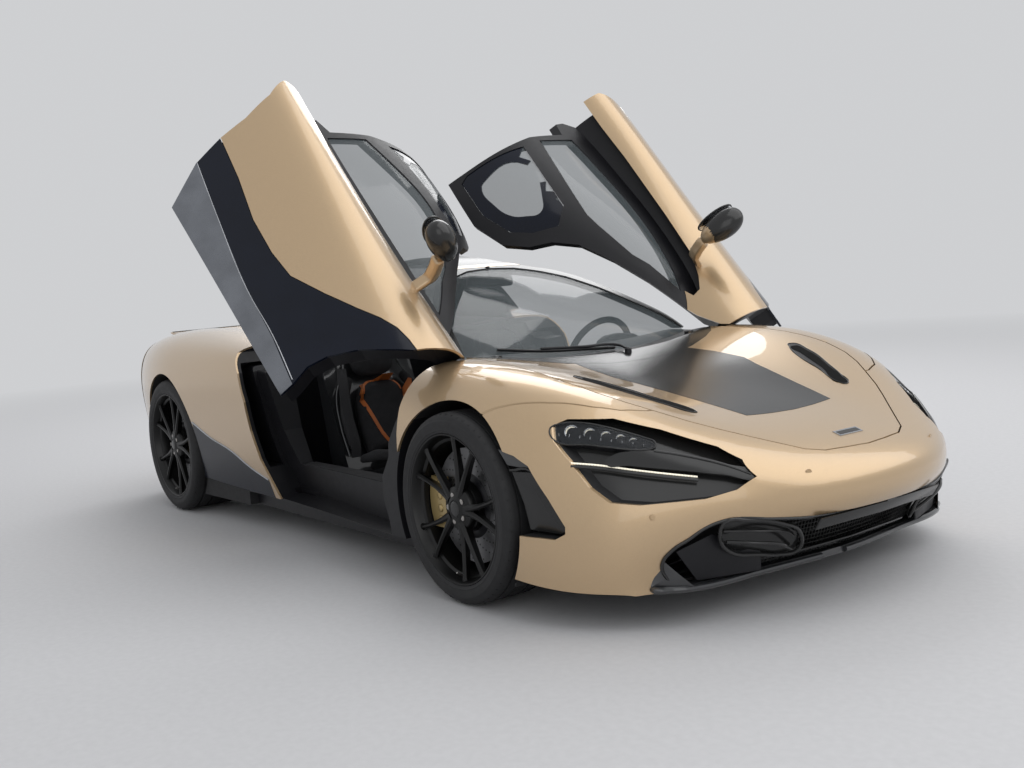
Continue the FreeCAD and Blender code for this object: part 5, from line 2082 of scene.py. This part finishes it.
@dataclass
class Studio:
    """The floor, the lights and the camera, in metres and radians.

    Attributes:
        lens: the focal length in millimetres on a 36 mm sensor.
        fade: where the floor starts and ends to fade into the room.
        lamps: name, place, width and power of each lamp.
    """

    lens: float = 39.70
    eye: Place = (4.337, -2.944, 1.089)
    yaw: float = 2.512
    pitch: float = -0.096
    roll: float = -0.080
    fade: tuple[float, float] = (4.5, 13.0)
    lamps: tuple[tuple[str, Place, float, float], ...] = (
        ("key", (4.5, 3.0, 7.0), 11.0, 430.0),
        ("fill", (6.5, -4.5, 3.0), 5.0, 60.0),
        ("back", (-5.5, 4.0, 6.0), 6.0, 260.0))

    def camera(self) -> None:
        """Stand the camera where the photographer stood."""
        cam = bpy.data.cameras.new("camera")
        cam.lens = self.lens
        cam.sensor_width = 36.0
        cam.clip_start = 0.05
        spot = add_object("camera", cam)
        ahead = Vector((math.cos(self.yaw) * math.cos(self.pitch),
                        math.sin(self.yaw) * math.cos(self.pitch),
                        math.sin(self.pitch)))
        right = ahead.cross(UP).normalized()
        above = right.cross(ahead)
        x = math.cos(self.roll) * right + math.sin(self.roll) * above
        y = -math.sin(self.roll) * right + math.cos(self.roll) * above
        turn = Matrix((x, y, -ahead)).transposed().to_4x4()
        spot.matrix_world = Matrix.Translation(self.eye) @ turn
        bpy.context.scene.camera = spot

    def floor(self) -> None:
        """Lay a wide pale floor that fades into the room's light."""
        mesh = bpy.data.meshes.new("floor")
        shape = bmesh.new()
        bmesh.ops.create_grid(shape, x_segments=1, y_segments=1, size=40.0)
        shape.to_mesh(mesh)
        shape.free()
        item = add_object("floor", mesh)
        nodes = Nodes("pale_floor")
        nodes.set(Roughness=0.7)
        nodes.feed(nodes.ramp(nodes.noise(40.0), 0.3, 0.7, (0.53, 0.53, 0.54),
                              (0.56, 0.56, 0.57)), "Base Color")
        reach = nodes.add("VectorMath", operation="LENGTH")
        nodes.link(nodes.place, reach.inputs[0])
        away = nodes.add("MapRange", From_Min=self.fade[0], From_Max=self.fade[1])
        nodes.link(reach.outputs["Value"], away.inputs["Value"])
        glow = nodes.add("Emission", Color=(0.619, 0.626, 0.641, 1.0), Strength=1.0)
        mix = nodes.add("MixShader")
        nodes.link(away.outputs["Result"], mix.inputs["Fac"])
        nodes.link(nodes.shader.outputs["BSDF"], mix.inputs[1])
        nodes.link(glow.outputs["Emission"], mix.inputs[2])
        nodes.link(mix.outputs["Shader"],
                   nodes.tree.nodes["Material Output"].inputs["Surface"])
        mesh.materials.append(nodes.material)

    def light(self, name: str, place: Place, size: float, power: float) -> None:
        """Hang one soft lamp that looks at the car.

        Args:
            name: the lamp's name.
            place: where it hangs, in metres.
            size: the width of its square, in metres.
            power: its power in watts.
        """
        lamp = bpy.data.lights.new(name, "AREA")
        lamp.shape = "SQUARE"
        lamp.size = size
        lamp.energy = power
        item = add_object(name, lamp)
        item.location = place
        item.rotation_euler = (Vector((0.0, 0.0, 0.4)) - Vector(place)).to_track_quat(
            "-Z", "Y").to_euler()

    def world(self) -> None:
        """Fill the room with soft light."""
        world = bpy.data.worlds.new("room")
        bpy.context.scene.world = world
        world.use_nodes = True
        back = world.node_tree.nodes["Background"]
        back.inputs["Color"].default_value = (0.86, 0.87, 0.89, 1.0)
        back.inputs["Strength"].default_value = 0.72

    def build(self) -> None:
        """Set the whole studio."""
        bpy.context.scene.view_settings.view_transform = "Standard"
        self.camera()
        self.floor()
        self.world()
        for lamp in self.lamps:
            self.light(*lamp)


@dataclass
class Dressing(Part):
    """Gives every CAD node its finish."""

    by_start: dict[str, Finish] = field(default_factory=lambda: {
        "door_skin": GOLD, "door_lower": NAVY, "door_frame": SATIN, "door_glass": GLASS,
        "mirror": BLACK, "rim": WHEEL, "tyre": RUBBER, "knuckle": CAST,
        "front_arms": CAST, "rear_uprights": CAST, "caliper": BRASS,
        "rear_calipers": BRASS, "bonnet": GOLD, "front_fenders": GOLD,
        "front_bumper": GOLD, "rear_quarters": GOLD, "rear_bumper": GOLD,
        "roof_frame": BLACK, "windscreen": GLASS, "rear_glass": GLASS,
        "engine_cover": BLACK, "front_intake": CARBON, "headlamps": BLACK,
        "tail_lamps": LAMP_RED, "side_intakes": SATIN, "rear_wing": GOLD,
        "diffuser": CARBON, "exhausts": HOT_STEEL, "engine_block": CAST, "tub": SATIN,
        "front_structure": SHADE, "rear_structure": SHADE, "dashboard": LEATHER,
        "seat_shells": CARBON, "seat_cushions": SUEDE, "steering_wheel": LEATHER})

    def build(self) -> None:
        """Assign the finishes and report each node."""
        for name, item in self.frame["nodes"].items():
            starts = [k for k in self.by_start if name.startswith(k)]
            finish = self.by_start[max(starts, key=len)] if starts else SHADE
            item.data.materials.clear()
            item.data.materials.append(finish.build())
            LOG.info("%s: %s", name, finish.name)


PARTS = (Headlamps, Nose, BonnetTrim, Wheels, Doors, Seats, Cabin, Sides, Tail)


def main() -> None:
    """Build the scene."""
    logging.basicConfig(level=logging.INFO, format="%(name)s %(message)s")
    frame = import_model()
    Studio().build()
    Dressing(frame).build()
    for part in PARTS:
        part(frame).build()
        LOG.info("%s done", part.__name__)


if __name__ == "__main__":
    main()
